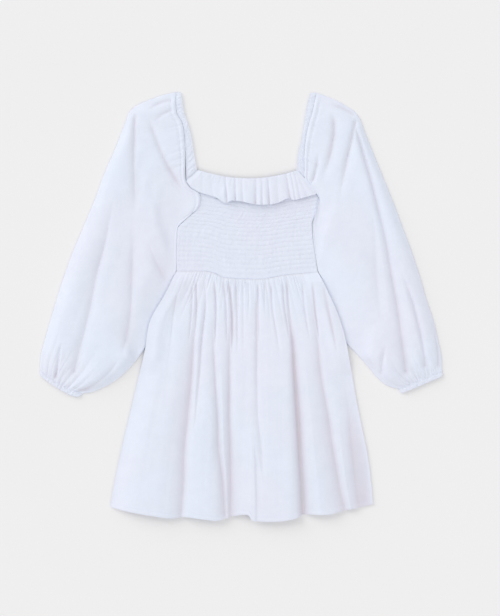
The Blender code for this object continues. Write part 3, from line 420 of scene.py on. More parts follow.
# The sleeves' folds and creases
SLEEVE_LEFT_CREASES = (
    Crease((-212, 383), (-214, 290), (-210, 150), 3.6, 10.0, 4.4, 0.10, 0.40, 0.0),
    Crease((-250, 232), (-288, 54), (-333, -128), 7.0, 12.0, 6.6, 0.45, 0.0, -0.20),
    Crease((-215, 175), (-218, 14), (-240, -101), 7.0, 8.0, 4.2, 0.35, 0.20, 0.0),
    Crease((-240, -95), (-271, -139), (-321, -167), 8.0, 3.5, 4.8, 0.35, 0.0, 0.0),
    Crease((-356, -66), (-364, -105), (-370, -140), 2.8, 2.5, 4.2, 0.50, 0.0, 0.0),
    Crease((-190, 138), (-165, 82), (-141, 38), 5.0, 9.0, 2.6, 0.45, 0.40, 0.0),
    Crease((-186, 374), (-150, 291), (-103, 218), 3.4, 7.0, 4.2, 0.20, 0.30, 0.0),
    Crease((-148, 267), (-127, 238), (-104, 218), 3.0, 4.5, 1.6, 0.40, 0.40, 0.0),
    Crease((-191, 383), (-161, 403), (-133, 408), 3.6, 2.4, 2.8, 0.35, 0.0, 0.0),
    Crease((-175, 364), (-155, 380), (-133, 391), 3.2, 2.4, 2.4, 0.35, 0.0, 0.0),
)

SLEEVE_RIGHT_CREASES = (
    Crease((206, 392), (274, 175), (324, -128), 3.6, 8.0, 6.5, 0.20, 0.0, 0.0),
    Crease((257, 261), (265, 89), (277, -46), 9.0, 13.0, 3.0, 0.60, 0.30, 0.0),
    Crease((315, 75), (343, -16), (362, -117), 3.6, 4.0, 4.8, 0.40, 0.0, 0.0),
    Crease((376, -6), (386, -65), (391, -115), 2.6, 2.6, 3.8, 0.50, 0.0, 0.0),
    Crease((287, -69), (279, -105), (277, -141), 3.4, 3.4, 3.8, 0.50, 0.20, 0.0),
    Crease((224, 374), (210, 305), (187, 186), 3.6, 6.0, 5.4, 0.15, 0.45, 0.0),
    Crease((176, 384), (179, 325), (151, 232), 3.6, 5.2, 4.8, 0.25, 0.40, 0.0),
    Crease((152, 311), (147, 275), (137, 240), 2.4, 2.6, 3.8, 0.40, 0.20, 0.0),
    Crease((170, 401), (202, 389), (225, 373), 3.2, 2.6, 2.8, 0.35, 0.20, 0.0),
)

# Ruffle creases from neckline to free edge: the x where each starts and ends
RUFFLE_FOLDS = (
    RuffleFold(-78, -78, 3.0, 0.35),
    RuffleFold(-60, -57, 5.0, 0.40),
    RuffleFold(-33, -30, 2.6, 0.95),
    RuffleFold(-13, -13, 2.2, 0.70),
    RuffleFold(0, 2, 3.4, 0.50),
    RuffleFold(28, 27, 4.0, 0.85),
    RuffleFold(40, 40, 2.0, 0.55),
    RuffleFold(52, 54, 2.4, 0.85),
    RuffleFold(69, 72, 4.6, 0.45),
    RuffleFold(87, 96, 3.4, 1.0),
    RuffleFold(97, 106, 2.0, 0.60),
    RuffleFold(104, 116, 2.2, 0.60),
    RuffleFold(106, 131, 2.6, 0.45),
)

# Outlines on the plan, each from a few points that the cloth's edge passes through
NECKLINE = (
    (-88, 270), (-60, 262), (-32, 256.5), (-2, 253.5), (30, 253.5), (62, 257.5), (84, 262), (108, 269),
)
WAIST = ((-129, 70), (-60, 68), (-36, 58), (-2, 55), (41, 54.5), (83, 62), (150, 68))
HEM = (
    (-260, -396), (-222, -405), (-182, -412), (-139, -418), (-113, -415), (-73, -420), (-48, -422),
    (-20, -414), (12, -411), (20, -421), (46, -424), (78, -423), (109, -417), (118, -411), (131, -410),
    (174, -410), (200, -403), (230, -397), (259, -390),
)
SKIRT_LEFT_SIDE = (
    (-129.5, 69), (-136, 58), (-153, 24), (-182, -28), (-191.5, -83), (-204, -137), (-218, -196),
    (-232, -255), (-245.5, -315), (-257, -374), (-260, -396),
)
SKIRT_RIGHT_SIDE = (
    (150, 67.5), (157, 56), (173, 24), (191, -17), (205, -65), (213, -108), (226, -184), (238, -243),
    (248, -291), (255.5, -350), (259, -390),
)
BODICE_LEFT_SIDE = (
    (-88, 268), (-98, 257), (-108.3, 246.5), (-100, 233), (-86, 223.5), (-83.2, 208), (-88.2, 195.2),
    (-98.2, 184.2), (-114.6, 169.8), (-125.1, 158.2), (-127.2, 135), (-127.8, 105), (-128.3, 71),
)
BODICE_RIGHT_SIDE = (
    (108, 267), (121, 253), (127, 246), (150, 222), (151, 200), (143.4, 180), (138.6, 167),
    (138.2, 156), (139, 140), (144, 103), (149, 69),
)
BACK_LEFT_SIDE = (
    (-88, 267), (-97, 257), (-107, 247.5), (-96, 238), (-81.5, 228), (-79.5, 208), (-85.5, 194.5),
    (-97, 182.5), (-113.3, 168), (-124, 157), (-127, 135), (-127.6, 105), (-128.3, 71),
)
BACK_RIGHT_SIDE = (
    (108, 266), (121, 252), (126, 247), (147.5, 223.5), (145.5, 200), (140.5, 179), (138, 165),
    (138.2, 156), (139, 140), (144, 103), (149, 69),
)
RUFFLE_LEFT_SIDE = ((-87, 271), (-98, 260.3), (-109.9, 249.6), (-104.9, 241.1), (-99.9, 235.3))
RUFFLE_RIGHT_SIDE = ((109.3, 270.3), (128.8, 249.5), (150.6, 225.0))
RUFFLE_EDGE = (
    (-99.9, 235.3), (-92.0, 230.4), (-84.0, 226.4), (-52, 216.5), (-33, 205.5), (-20, 210), (-2, 209),
    (20, 203.5), (45, 202), (69, 205), (84, 212), (93, 215), (101, 211.5), (122, 216), (150.6, 225.0),
)

# Sleeves: the neck edge, then the armhole, make the cap; the outer side is the fold, the inner the seam
CAP_NECK_LEFT = ((-131, 425), (-129, 385), (-117.5, 362), (-112, 307), (-110.5, 250))
ARMHOLE_LEFT = ((-100, 235), (-84, 226), (-82, 208), (-88, 195), (-99, 184))
SLEEVE_LEFT_OUTER = (
    (-131, 425), (-154, 420), (-186, 409), (-211, 397), (-223, 385), (-231.5, 363), (-250, 315),
    (-271, 267), (-293, 208), (-313, 160), (-333, 113), (-350.5, 65), (-366, 18), (-380, -30),
    (-390, -65), (-398, -95), (-400, -126),
)
SLEEVE_LEFT_GUIDE = (
    (-209, 398), (-202, 362), (-193, 325), (-182, 288), (-170, 252), (-158, 215), (-148, 180),
    (-139, 150), (-129.3, 129),
)
SLEEVE_LEFT_INNER = (
    (-99, 184), (-115, 170), (-126.3, 159), (-128.6, 135), (-129.2, 105), (-129.7, 82), (-130.4, 71),
    (-134.0, 62.5), (-137.2, 55), (-140.5, 44), (-146, 24), (-168, -28), (-182, -60), (-192, -82),
    (-223, -121), (-247.5, -143), (-272, -158), (-297, -168), (-316, -171),
)
CUFF_LEFT_SEAM = ((-400, -126), (-367, -149), (-334, -166), (-316, -171))
CUFF_LEFT_EDGE = ((-400.5, -136), (-371, -157), (-338, -175), (-320, -179))
SLEEVE_LEFT_LINES = (
    CAP_NECK_LEFT + ARMHOLE_LEFT,
    SLEEVE_LEFT_GUIDE,
    CUFF_LEFT_SEAM,
    SLEEVE_LEFT_OUTER,
    SLEEVE_LEFT_INNER,
)
BAND_LEFT_SLEEVE_SIDE = CAP_NECK_LEFT[:-1] + ((-110.3, 249.2),)
BAND_LEFT_NECK = ((-121, 425), (-115, 386), (-107, 362), (-101, 339), (-95, 303), (-88.8, 269.3))

CAP_NECK_RIGHT = ((147, 424), (140, 390), (131.5, 360), (125.5, 329), (123, 300), (123.2, 272), (123.4, 256))
ARMHOLE_RIGHT = ((128.5, 249.5), (151, 225), (148, 200), (143, 179), (139.6, 164))
SLEEVE_RIGHT_OUTER = (
    (147, 424), (156, 421), (184, 410), (206, 398), (225, 385), (233.5, 372), (241.5, 350),
    (255.5, 315), (275, 267), (299, 208), (317, 160), (334.5, 113), (350.5, 65), (364, 18), (380, -30),
    (388, -65), (394, -95), (396, -126),
)
SLEEVE_RIGHT_GUIDE = (
    (216, 391), (212, 355), (205, 320), (195, 285), (182, 250), (168, 215), (155, 178), (146, 143),
    (142.5, 118),
)
SLEEVE_RIGHT_INNER = (
    (139.6, 164), (140.3, 140), (144.9, 105), (148.8, 80), (151.0, 70), (155.4, 61.5), (160, 49), (166, 24),
    (181, -17), (195, -50), (207, -72), (215, -81), (240, -107), (265, -137), (281, -152), (297, -159),
    (310, -162),
)
CUFF_RIGHT_SEAM = ((396, -126), (353, -144), (325, -156), (310, -162))
CUFF_RIGHT_EDGE = ((399, -136), (357, -154), (329, -166), (314, -172))
SLEEVE_RIGHT_LINES = (
    CAP_NECK_RIGHT + ARMHOLE_RIGHT,
    SLEEVE_RIGHT_GUIDE,
    CUFF_RIGHT_SEAM,
    SLEEVE_RIGHT_OUTER,
    SLEEVE_RIGHT_INNER,
)
BAND_RIGHT_SLEEVE_SIDE = CAP_NECK_RIGHT[:-1] + ((122.9, 254.3),)
BAND_RIGHT_NECK = ((136, 424), (129, 398), (123, 362), (117, 327), (111, 303), (108.5, 269.3))


def blend(first, second, start, end, at):
    """Between first at start and second at end."""
    return first * (end - at) / (end - start) + second * (at - start) / (end - start)


def smooth_curve(points, samples=24):
    """A curve through the points, as a function that gives places at shares of its length."""
    knots = np.array(points, float)
    before = 2 * knots[0] - knots[1]
    after = 2 * knots[-1] - knots[-2]
    padded = np.vstack([before, knots, after])
    spacing = np.sqrt(np.linalg.norm(np.diff(padded, axis=0), axis=1))
    times = np.concatenate([[0.0], np.cumsum(spacing)])
    path = []
    for i in range(1, len(knots)):
        at = np.linspace(times[i], times[i + 1], samples, endpoint=i == len(knots) - 1)[:, None]
        knot, when = padded[i - 1:i + 3], times[i - 1:i + 3]
        lines = [blend(knot[k], knot[k + 1], when[k], when[k + 1], at) for k in range(3)]
        bends = [blend(lines[k], lines[k + 1], when[k], when[k + 2], at) for k in range(2)]
        path.append(blend(*bends, when[1], when[2], at))
    path = np.vstack(path)
    along = np.concatenate([[0.0], np.cumsum(np.linalg.norm(np.diff(path, axis=0), axis=1))])
    along /= along[-1]

    def place(shares):
        return np.column_stack([np.interp(shares, along, path[:, axis]) for axis in (0, 1)])

    return place


def patch_row(top, bottom, left, right, across, down):
    """Plan places of one row of a patch with four curved edges (a Coons patch)."""
    beside = np.asarray(across, float)[:, None]
    rows = (1 - down) * top(across) + down * bottom(across)
    sides = (1 - beside) * left([down]) + beside * right([down])
    corners = (
        (1 - beside) * (1 - down) * top([0.0]) + beside * (1 - down) * top([1.0])
        + (1 - beside) * down * bottom([0.0]) + beside * down * bottom([1.0])
    )
    return rows + sides - corners


def patch(lines, shares, downs):
    """A grid of plan places, with one row for each value of downs."""
    edges = [smooth_curve(points) for points in lines]
    return np.stack([patch_row(*edges, shares, down) for down in downs])


def guided_row(cap, guide, seam, outer, inner, across, station):
    """Plan places of one row of a sleeve, whose rows turn from the cap to a guide line near it."""
    at = SLEEVE_GUIDE_STATION
    if station <= at:
        first, last, start, end = cap, guide, 0.0, at
    else:
        first, last, start, end = guide, seam, at, 1.0

    def part_of(side):
        return lambda shares: side(start + (end - start) * np.asarray(shares))

    return patch_row(first, last, part_of(outer), part_of(inner), across, (station - start) / (end - start))


def stretches(table):
    """Shares from 0 to 1, from rows that say where each stretch starts and how many shares it has."""
    ends = [start for start, count in table[1:]] + [1.0]
    last = len(table) - 1
    return np.concatenate([
        np.linspace(start, ends[i], count, endpoint=i == last) for i, (start, count) in enumerate(table)
    ])


def smoothstep(x):
    x = np.clip(x, 0.0, 1.0)
    return x * x * (3 - 2 * x)


def near(distance, reach):
    """1 at an edge, easing to 0 at the reach from it."""
    return smoothstep(1 - distance / reach)


def beyond(distance, reach):
    """0 at an edge, easing to 1 at the reach from it."""
    return smoothstep(distance / reach)


def to_side(shares):
    """The share between each place and the nearer side."""
    return np.minimum(shares, 1 - shares)


def eased(distance, rounding, power=ROUNDING_POWER):
    """0 at an edge, rising round its shoulder to 1."""
    return 1 - np.exp(-(distance / rounding) ** power)


def table_value(table, x):
    """The value at x of a table of (x, value) rows."""
    return np.interp(x, [row[0] for row in table], [row[1] for row in table])


def cell_noise(x, y, seed):
    """Smooth noise from -1 to 1, with one cell for each unit of x and of y."""
    table = np.random.default_rng(seed).uniform(-1, 1, (NOISE_CELLS, NOISE_CELLS))
    column, row = np.floor(x).astype(int), np.floor(y).astype(int)
    past_column, past_row = smoothstep(x - column), smoothstep(y - row)

    def corner(right, down):
        return table[(column + right) % NOISE_CELLS, (row + down) % NOISE_CELLS]

    above = corner(0, 0) * (1 - past_column) + corner(1, 0) * past_column
    below = corner(0, 1) * (1 - past_column) + corner(1, 1) * past_column
    return above * (1 - past_row) + below * past_row


def uneven(across, down, layers, seed=0):
    """The height of layers of noise, each with cells of its own size."""
    return sum(
        layer.height * cell_noise(
            across / layer.cell_across, down / layer.cell_down + layer.shift, seed + layer.seed)
        for layer in layers
    )


def wandering(plan, seed):
    """The plan places moved a little, so that creases wander as they do in cloth."""
    x, y = plan[..., 0] / WANDER_CELL, plan[..., 1] / WANDER_CELL
    return plan + WANDER_REACH * np.stack([cell_noise(x, y, seed), cell_noise(x, y, seed + 1)], axis=-1)


def valley(distance, width, bluntness):
    """1 on a valley's floor, which is blunt, falling to 0 on both sides."""
    return np.exp(-(np.sqrt(distance ** 2 + bluntness ** 2) - bluntness) / width)


def ridged(x, ridges):
    """The height at x of soft ridges, or of grooves where their height is below 0."""
    return sum(ridge.height * np.exp(-((x - ridge.at) / ridge.width) ** 2) for ridge in ridges)


def creased(plan, creases):
    """How deep the creases lie below the cloth's general height, at each place of a grid."""
    flat = plan.reshape(-1, 2)
    depth = np.zeros(len(flat))
    for crease in creases:
        start, middle, end = (np.array(p, float) for p in (crease.start, crease.middle, crease.end))
        control = 2 * middle - (start + end) / 2
        t = np.linspace(0, 1, CREASE_SAMPLES)[:, None]
        line = (1 - t) ** 2 * start + 2 * t * (1 - t) * control + t ** 2 * end
        tangent = np.gradient(line, axis=0)
        spacing = np.linalg.norm(tangent, axis=1)
        tangent /= spacing[:, None]
        offset = flat[:, None, :] - line[None]
        nearest = np.argmin((offset ** 2).sum(axis=2), axis=1)
        away = offset[np.arange(len(flat)), nearest]
        side = tangent[nearest, 0] * away[:, 1] - tangent[nearest, 1] * away[:, 0]
        onward = (tangent[nearest] * away).sum(axis=1)
        within = np.clip(onward, -spacing[nearest], spacing[nearest])
        within[(nearest == 0) & (onward < 0)] = 0.0
        within[(nearest == len(line) - 1) & (onward > 0)] = 0.0
        along = np.clip(t[nearest, 0] + within / spacing[nearest] * (t[1, 0] - t[0, 0]), 0, 1)
        distance = np.hypot(side, onward - within)
        width = crease.width_start + (crease.width_end - crease.width_start) * along ** CREASE_WIDENS
        width = width * (1 + crease.lean * np.tanh(side / CREASE_LEANS_WITHIN))
        strength = np.ones(len(flat))
        if crease.fade_in:
            strength *= smoothstep(along / crease.fade_in)
        if crease.fade_out:
            strength *= smoothstep((1 - along) / crease.fade_out)
        depth = np.maximum(depth, crease.depth * strength * valley(distance, width, CREASE_BLUNTNESS))
    return depth.reshape(plan.shape[:-1])


def gathered(across, away, edge_length, kinds, seed=0):
    """Depth of the gathers that run from an edge. across is along it and away is from it, in millimetres."""
    depth = np.zeros(across.shape)
    for kind in kinds:
        rng = np.random.default_rng(seed + kind.seed)
        count = int(edge_length / kind.pitch)
        for i in range(count):
            middle = (i + 0.5 + rng.uniform(-GATHER_SCATTER, GATHER_SCATTER)) * edge_length / count
            longer = rng.uniform(0, 1) ** GATHER_LENGTH_POWER
            length = kind.shortest + (kind.longest - kind.shortest) * longer
            deep = kind.height * rng.uniform(*GATHER_DEPTHS)
            width = kind.pitch * rng.uniform(*GATHER_WIDTHS)
            drift = rng.uniform(-GATHER_DRIFT, GATHER_DRIFT)
            spread = width * (1 + GATHER_WIDENS * away / kind.longest)
            fading = near(away, length) ** GATHER_FADE_POWER
            floor = valley(across - middle - drift * away, spread, GATHER_BLUNTNESS)
            depth = np.maximum(depth, deep * floor * fading)
    return depth


def soft_floor(height, floor, softness=1.0):
    """The height, eased so that it never goes below the floor."""
    above = height - floor
    return floor + (above + np.sqrt(above ** 2 + softness ** 2)) / 2


def lowest_near(heights, rows, columns):
    """The lowest height within so many rows and columns of each place of a grid."""
    for axis, reach in ((0, rows), (1, columns)):
        padding = [(0, 0), (0, 0)]
        padding[axis] = (reach, reach)
        padded = np.pad(heights, padding, mode="edge")
        heights = np.lib.stride_tricks.sliding_window_view(padded, 2 * reach + 1, axis).min(axis=-1)
    return heights


def painted_fold_shade(smooth, height, floor):
    """Painted shade for the folds: 0 on the smooth surface and 1 at the floor of a fold."""
    share = (smooth - height) / np.maximum(smooth - floor, SHALLOWEST_FOLD)
    return np.clip(share, 0.0, 1.0) ** FOLD_SHADE_POWER


def every(count, step):
    """Indices from 0 to the last one, about a step apart."""
    return np.unique(np.linspace(0, count - 1, max(2, round((count - 1) / step) + 1)).astype(int))


def with_height(plan, height):
    return np.concatenate([plan, np.broadcast_to(height, plan.shape[:-1])[..., None]], axis=-1)


class Cloth:
    """Collects the points and faces of one piece, then makes it an object."""

    def __init__(self, name):
        self.name = name
        self.points = []
        self.fold_shades = []
        self.count = 0
        self.faces = []

    def add(self, places, depth=0.0):
        """Adds a grid of places and gives that of their indices. depth is the painted fold shade of each,
        from how deep in a fold it lies.
        """
        places = np.asarray(places, float)
        self.fold_shades.append(np.broadcast_to(depth, places.shape[:-1]).ravel())
        self.points.append(places.reshape(-1, 3))
        size = int(np.prod(places.shape[:-1]))
        index = np.arange(self.count, self.count + size).reshape(places.shape[:-1])
        self.count += size
        return index

    def quads(self, index, flipped=False):
        """Faces over a grid whose rows run down the piece and whose columns run across it."""
        corners = [index[:-1, :-1], index[1:, :-1], index[1:, 1:], index[:-1, 1:]]
        if flipped:
            corners = [corners[0], *corners[:0:-1]]
        self.faces += np.stack([corner.ravel() for corner in corners], axis=1).tolist()

    def join(self, near_line, far_line):
        """Faces between two lines of points, which may have different numbers of points."""
        lines = [list(map(int, line)) for line in (near_line, far_line)]
        last = [len(line) - 1 for line in lines]
        shares = sorted({i / end for end in last for i in range(1, end + 1)})
        at = [0, 0]
        for share in shares:
            onward = [at[k] < last[k] and (at[k] + 1) / last[k] == share for k in (0, 1)]
            to = [at[k] + onward[k] for k in (0, 1)]
            face = [lines[0][at[0]], lines[0][to[0]], lines[1][to[1]], lines[1][at[1]]]
            self.faces.append(tuple(dict.fromkeys(face)))
            at = to

    def sheet(self, upper, lower, depth=0.0):
        """A closed wall between an upper and a lower grid on the same outline. depth is the painted fold
        shade of the upper grid's places.
        """
        upper, lower = self.add(upper, depth), self.add(lower)
        self.quads(upper)
        self.quads(lower, flipped=True)
        self.join(upper[0], lower[0])
        self.join(lower[-1], upper[-1])
        self.join(lower[:, 0], upper[:, 0])
        self.join(upper[:, -1], lower[:, -1])

    def tube(self, outer, inner, depth=0.0):
        """A flattened tube, open at both ends. Each grid has one ring of places for each row. depth is the
        painted fold shade of the outer grid.
        """
        outer, inner = self.add(outer, depth), self.add(inner)
        closed_outer = np.column_stack([outer, outer[:, 0]])
        closed_inner = np.column_stack([inner, inner[:, 0]])
        self.quads(closed_outer)
        self.quads(closed_inner, flipped=True)
        self.join(closed_outer[0], closed_inner[0])
        self.join(closed_inner[-1], closed_outer[-1])

    def finish(self, material):
        places = np.vstack(self.points)
        places[:, :2] += CENTRE
        mesh = bpy.data.meshes.new(self.name)
        mesh.from_pydata((places * METRES).tolist(), [], self.faces)
        mesh.shade_smooth()
        mesh.set_sharp_from_angle(angle=np.radians(SHARP_ANGLE))
        mesh.materials.append(material)
        # Painted shade: each point's share of the fold shade that darkens the cotton's colour
        fold_shades = mesh.attributes.new("painted_fold_shade", "FLOAT", "POINT")
        fold_shades.data.foreach_set("value", np.concatenate(self.fold_shades))
        piece = bpy.data.objects.new(self.name, mesh)
        bpy.context.scene.collection.objects.link(piece)
        return piece


class Nodes:
    """Adds shader nodes to a material and links them."""

    def __init__(self, name):
        self.material = bpy.data.materials.new(name)
        self.material.use_nodes = True
        self.tree = self.material.node_tree
        self.shader = self.tree.nodes["Principled BSDF"]

    def add(self, kind, inputs=(), **settings):
        node = self.tree.nodes.new(kind)
        for key, value in settings.items():
            setattr(node, key, value)
        self.set(node, inputs)
        return node

    def set(self, node, inputs):
        """Links each input that is given as a socket, and sets each other one to its value."""
        for name, value in dict(inputs).items():
            if isinstance(value, bpy.types.NodeSocket):
                self.tree.links.new(value, node.inputs[name])
            else:
                node.inputs[name].default_value = value

    def place(self):
        return self.add("ShaderNodeTexCoord").outputs["Object"]

    def math(self, operation, first, second):
        return self.add("ShaderNodeMath", {0: first, 1: second}, operation=operation).outputs[0]

    def noise(self, place, scale, detail=2.0, rough=0.5):
        inputs = {"Vector": place, "Scale": scale, "Detail": detail, "Roughness": rough}
        return self.add("ShaderNodeTexNoise", inputs).outputs["Fac"]

    def wave(self, direction, inputs):
        return self.add("ShaderNodeTexWave", inputs, bands_direction=direction).outputs["Fac"]

    def ramp(self, factor, stops):
        node = self.add("ShaderNodeValToRGB", {"Fac": factor})
        for element, (at, colour) in zip(node.color_ramp.elements, stops):
            element.position = at
            element.color = (*colour, 1.0)
        return node.outputs["Color"]

    def multiply(self, first, second):
        node = self.add("ShaderNodeMix", {"Factor": 1.0}, data_type="RGBA", blend_type="MULTIPLY")
        self.set(node, dict(zip(MIX_INPUTS, (first, second))))
        return node.outputs[MIX_OUTPUT]

    def bump(self, height, strength, distance):
        node = self.add("ShaderNodeBump", {"Height": height, "Strength": strength, "Distance": distance})
        return node.outputs["Normal"]


def cotton_material(name, tints, grain=0.0):
    """Fine plain-weave cotton, its colour darkened in the folds as painted shade. grain turns its threads."""
    n = Nodes(name)
    place = n.place()
    turned = n.add("ShaderNodeMapping", {"Vector": place, "Rotation": (0.0, 0.0, grain)}).outputs[0]
    wave_scale = PITCH_AT_SCALE_ONE / WEAVE_PITCH
    threads = []
    for direction, stretch in (("X", (1.0, THREAD_STRETCH, 1.0)), ("Y", (THREAD_STRETCH, 1.0, 1.0))):
        wave = n.wave(direction, {
            "Vector": turned, "Scale": wave_scale, "Distortion": 0.6, "Detail": 1.0, "Detail Scale": 0.3,
        })
        along = n.add("ShaderNodeMapping", {"Vector": turned, "Scale": stretch}).outputs[0]
        slub = n.noise(along, SLUB_SCALE)
        threads.append(n.math("MULTIPLY", wave, n.math("ADD", slub, SLUB_BASE)))
    weave = n.math("ADD", *threads)
    broad = n.noise(place, BROAD_TINT_SCALE, detail=3.0)
    patches = n.noise(place, MOTTLE_SCALE, detail=4.0, rough=0.6)
    fuzz = n.noise(place, FUZZ_SCALE, detail=5.0, rough=0.65)
    # Painted shade: the fold shade of each point, which darkens the colour in the folds
    folds = n.add("ShaderNodeAttribute", attribute_name="painted_fold_shade").outputs["Fac"]
    colour = n.ramp(broad, zip((0.36, 0.66), tints))
    colour = n.multiply(colour, n.ramp(patches, ((0.30, MOTTLED), (0.70, WHITE))))
    colour = n.multiply(colour, n.ramp(weave, ((0.15, THREAD_SHADOW), (0.95, WHITE))))
    colour = n.multiply(colour, n.ramp(folds, ((0.0, WHITE), (1.0, FOLD_SHADE_COLOUR))))
    relief = n.math("ADD", n.math("MULTIPLY", weave, WEAVE_RELIEF), fuzz)
    n.set(n.shader, {
        "Base Color": colour,
        "Roughness": n.add(
            "ShaderNodeMapRange", {"Value": patches, "To Min": 0.80, "To Max": 0.94}).outputs[0],
        "Sheen Weight": 0.18,
        "Sheen Roughness": 0.55,
        "Specular IOR Level": 0.25,
        "Normal": n.bump(relief, RELIEF_STRENGTH, RELIEF_DISTANCE),
    })
    return n.material


def thread_material():
    n = Nodes("sewing_thread")
    twist = n.wave("DIAGONAL", {"Vector": n.place(), "Scale": TWIST_SCALE, "Distortion": 1.0})
    n.set(n.shader, {
        "Base Color": n.ramp(twist, zip((0.2, 0.8), STITCH_TINTS)),
        "Roughness": 0.6,
        "Sheen Weight": 0.1,
        "Normal": n.bump(twist, RELIEF_STRENGTH, TWIST_RELIEF_DISTANCE),
    })
    return n.material


def side_lift(plan, distance):
    """How far the skirt's side rises over the sleeve, which lies under its edge."""
    at_edge = table_value(LIFT_TABLE, plan[..., 1])
    return at_edge * (1 - smoothstep((distance - LIFT_FLAT) / LIFT_SLOPE))


def side_distance(plan, shares):
    """Millimetres from the nearer side, at each place of a grid."""
    width = np.linalg.norm(plan[:, -1] - plan[:, 0], axis=1)
    return to_side(shares)[None, :] * width[:, None]


def moved(outline, rise):
    """An outline moved up the dress."""
    return [(x, y + rise) for x, y in outline]


def skirt_front(material):
    shares = np.linspace(0, 1, SKIRT_COLUMNS)
    downs = stretches(SKIRT_ROWS)
    plan = patch((WAIST, HEM, SKIRT_LEFT_SIDE, SKIRT_RIGHT_SIDE), shares, downs)
    rise = WAIST_SEAM_RISE_LEFT + (WAIST_SEAM_RISE_RIGHT - WAIST_SEAM_RISE_LEFT) * shares
    plan[..., 1] += rise * near(downs, WAIST_SEAM_RISE_UNTIL)[:, None]
    down = np.repeat(downs[:, None], SKIRT_COLUMNS, axis=1)
    across = np.repeat(shares[None] * WAIST_LENGTH, len(downs), axis=0)
    away = down * SKIRT_LENGTH
    distance = side_distance(plan, shares)
    lift = side_lift(plan, distance)
    swell = beyond(down, SKIRT_SWELLS_UNTIL) ** SKIRT_SWELL_POWER
    general = SKIRT_TOP_AT_WAIST + (SKIRT_TOP_AT_HEM - SKIRT_TOP_AT_WAIST) * swell
    inward = eased(distance, SKIRT_SIDE_ROUNDING + SKIRT_RIGHT_ROUNDER * (shares > 0.5))
    height = SKIRT_SIDE_TOP + (general - SKIRT_SIDE_TOP) * inward
    near_waist = near(away, WAIST_FULLNESS_REACH)
    # The surface without creases and gathers, from which the painted fold shade is measured
    smooth = height + WAIST_FULLNESS_UNSHADED * near_waist * inward
    height -= creased(wandering(plan, SKIRT_SEED), SKIRT_CREASES)
    gathers = gathered(across, away, WAIST_LENGTH, SKIRT_GATHERS)
    below_seam = GATHERS_IN_WAIST_SEAM + (1 - GATHERS_IN_WAIST_SEAM) * beyond(away, GATHERS_FULL_FROM)
    height += (WAIST_FULLNESS * near_waist - gathers) * inward * below_seam
    height -= WAIST_SEAM_DIP * near(away, WAIST_SEAM_DIP_REACH)
    broad = beyond(down - SKIRT_BROAD_NOISE_FROM, SKIRT_BROAD_NOISE_FADE)
    height += broad * inward * uneven(across, away, SKIRT_BROAD_NOISE)
    height += inward * uneven(plan[..., 0], plan[..., 1], SKIRT_FINE_NOISE)
    height += HEM_FOLD * beyond(down - HEM_STARTS_AT, HEM_FOLD_STEP) + ridged(down, HEM_GROOVE)
    height -= HEM_EDGE_DIP * beyond(down - HEM_EDGE_FROM, 1 - HEM_EDGE_FROM)
    height = soft_floor(height, LOWEST_FRONT_TOP)
    # Painted shade: how far each place lies down in a fold, which darkens its colour
    depth = painted_fold_shade(smooth, height, SKIRT_SHADE_FLOOR)
    height = height + lift
    inside = lowest_near(height, *SKIRT_INSIDE_STEPS) - WALL
    lowest = FRONT_UNDERSIDE + lift + np.minimum(LIFT_CLEARANCE_RATE * lift, LIFT_CLEARANCE)
    inside = np.maximum(np.minimum(inside, height - WALL), np.minimum(lowest, height - LEAST_WALL))
    cloth = Cloth("skirt_front_cloth")
    pick = np.ix_(every(len(downs), SKIRT_INSIDE_STEPS[0]), every(SKIRT_COLUMNS, SKIRT_INSIDE_STEPS[1]))
    cloth.sheet(with_height(plan, height), with_height(plan[pick], inside[pick]), depth)
    row = np.argmin(abs(downs - HEM_STITCHES_AT))
    return cloth.finish(material), [with_height(plan[row], height[row] + THREAD_ABOVE_HEM)]


def skirt_back(material):
    shares = np.linspace(0, 1, SKIRT_BACK_COLUMNS)
    downs = np.linspace(0, 1, SKIRT_BACK_ROWS)
    lines = (WAIST, moved(HEM, BACK_HEM_SHORTER), SKIRT_LEFT_SIDE, SKIRT_RIGHT_SIDE)
    plan = patch(lines, shares, downs) - np.array([0.0, SEAM_GAP])
    lift = side_lift(plan, side_distance(plan, shares))
    cloth = Cloth("skirt_back_cloth")
    cloth.sheet(with_height(plan, BACK_TOP + lift), with_height(plan, lift))
    return cloth.finish(material)


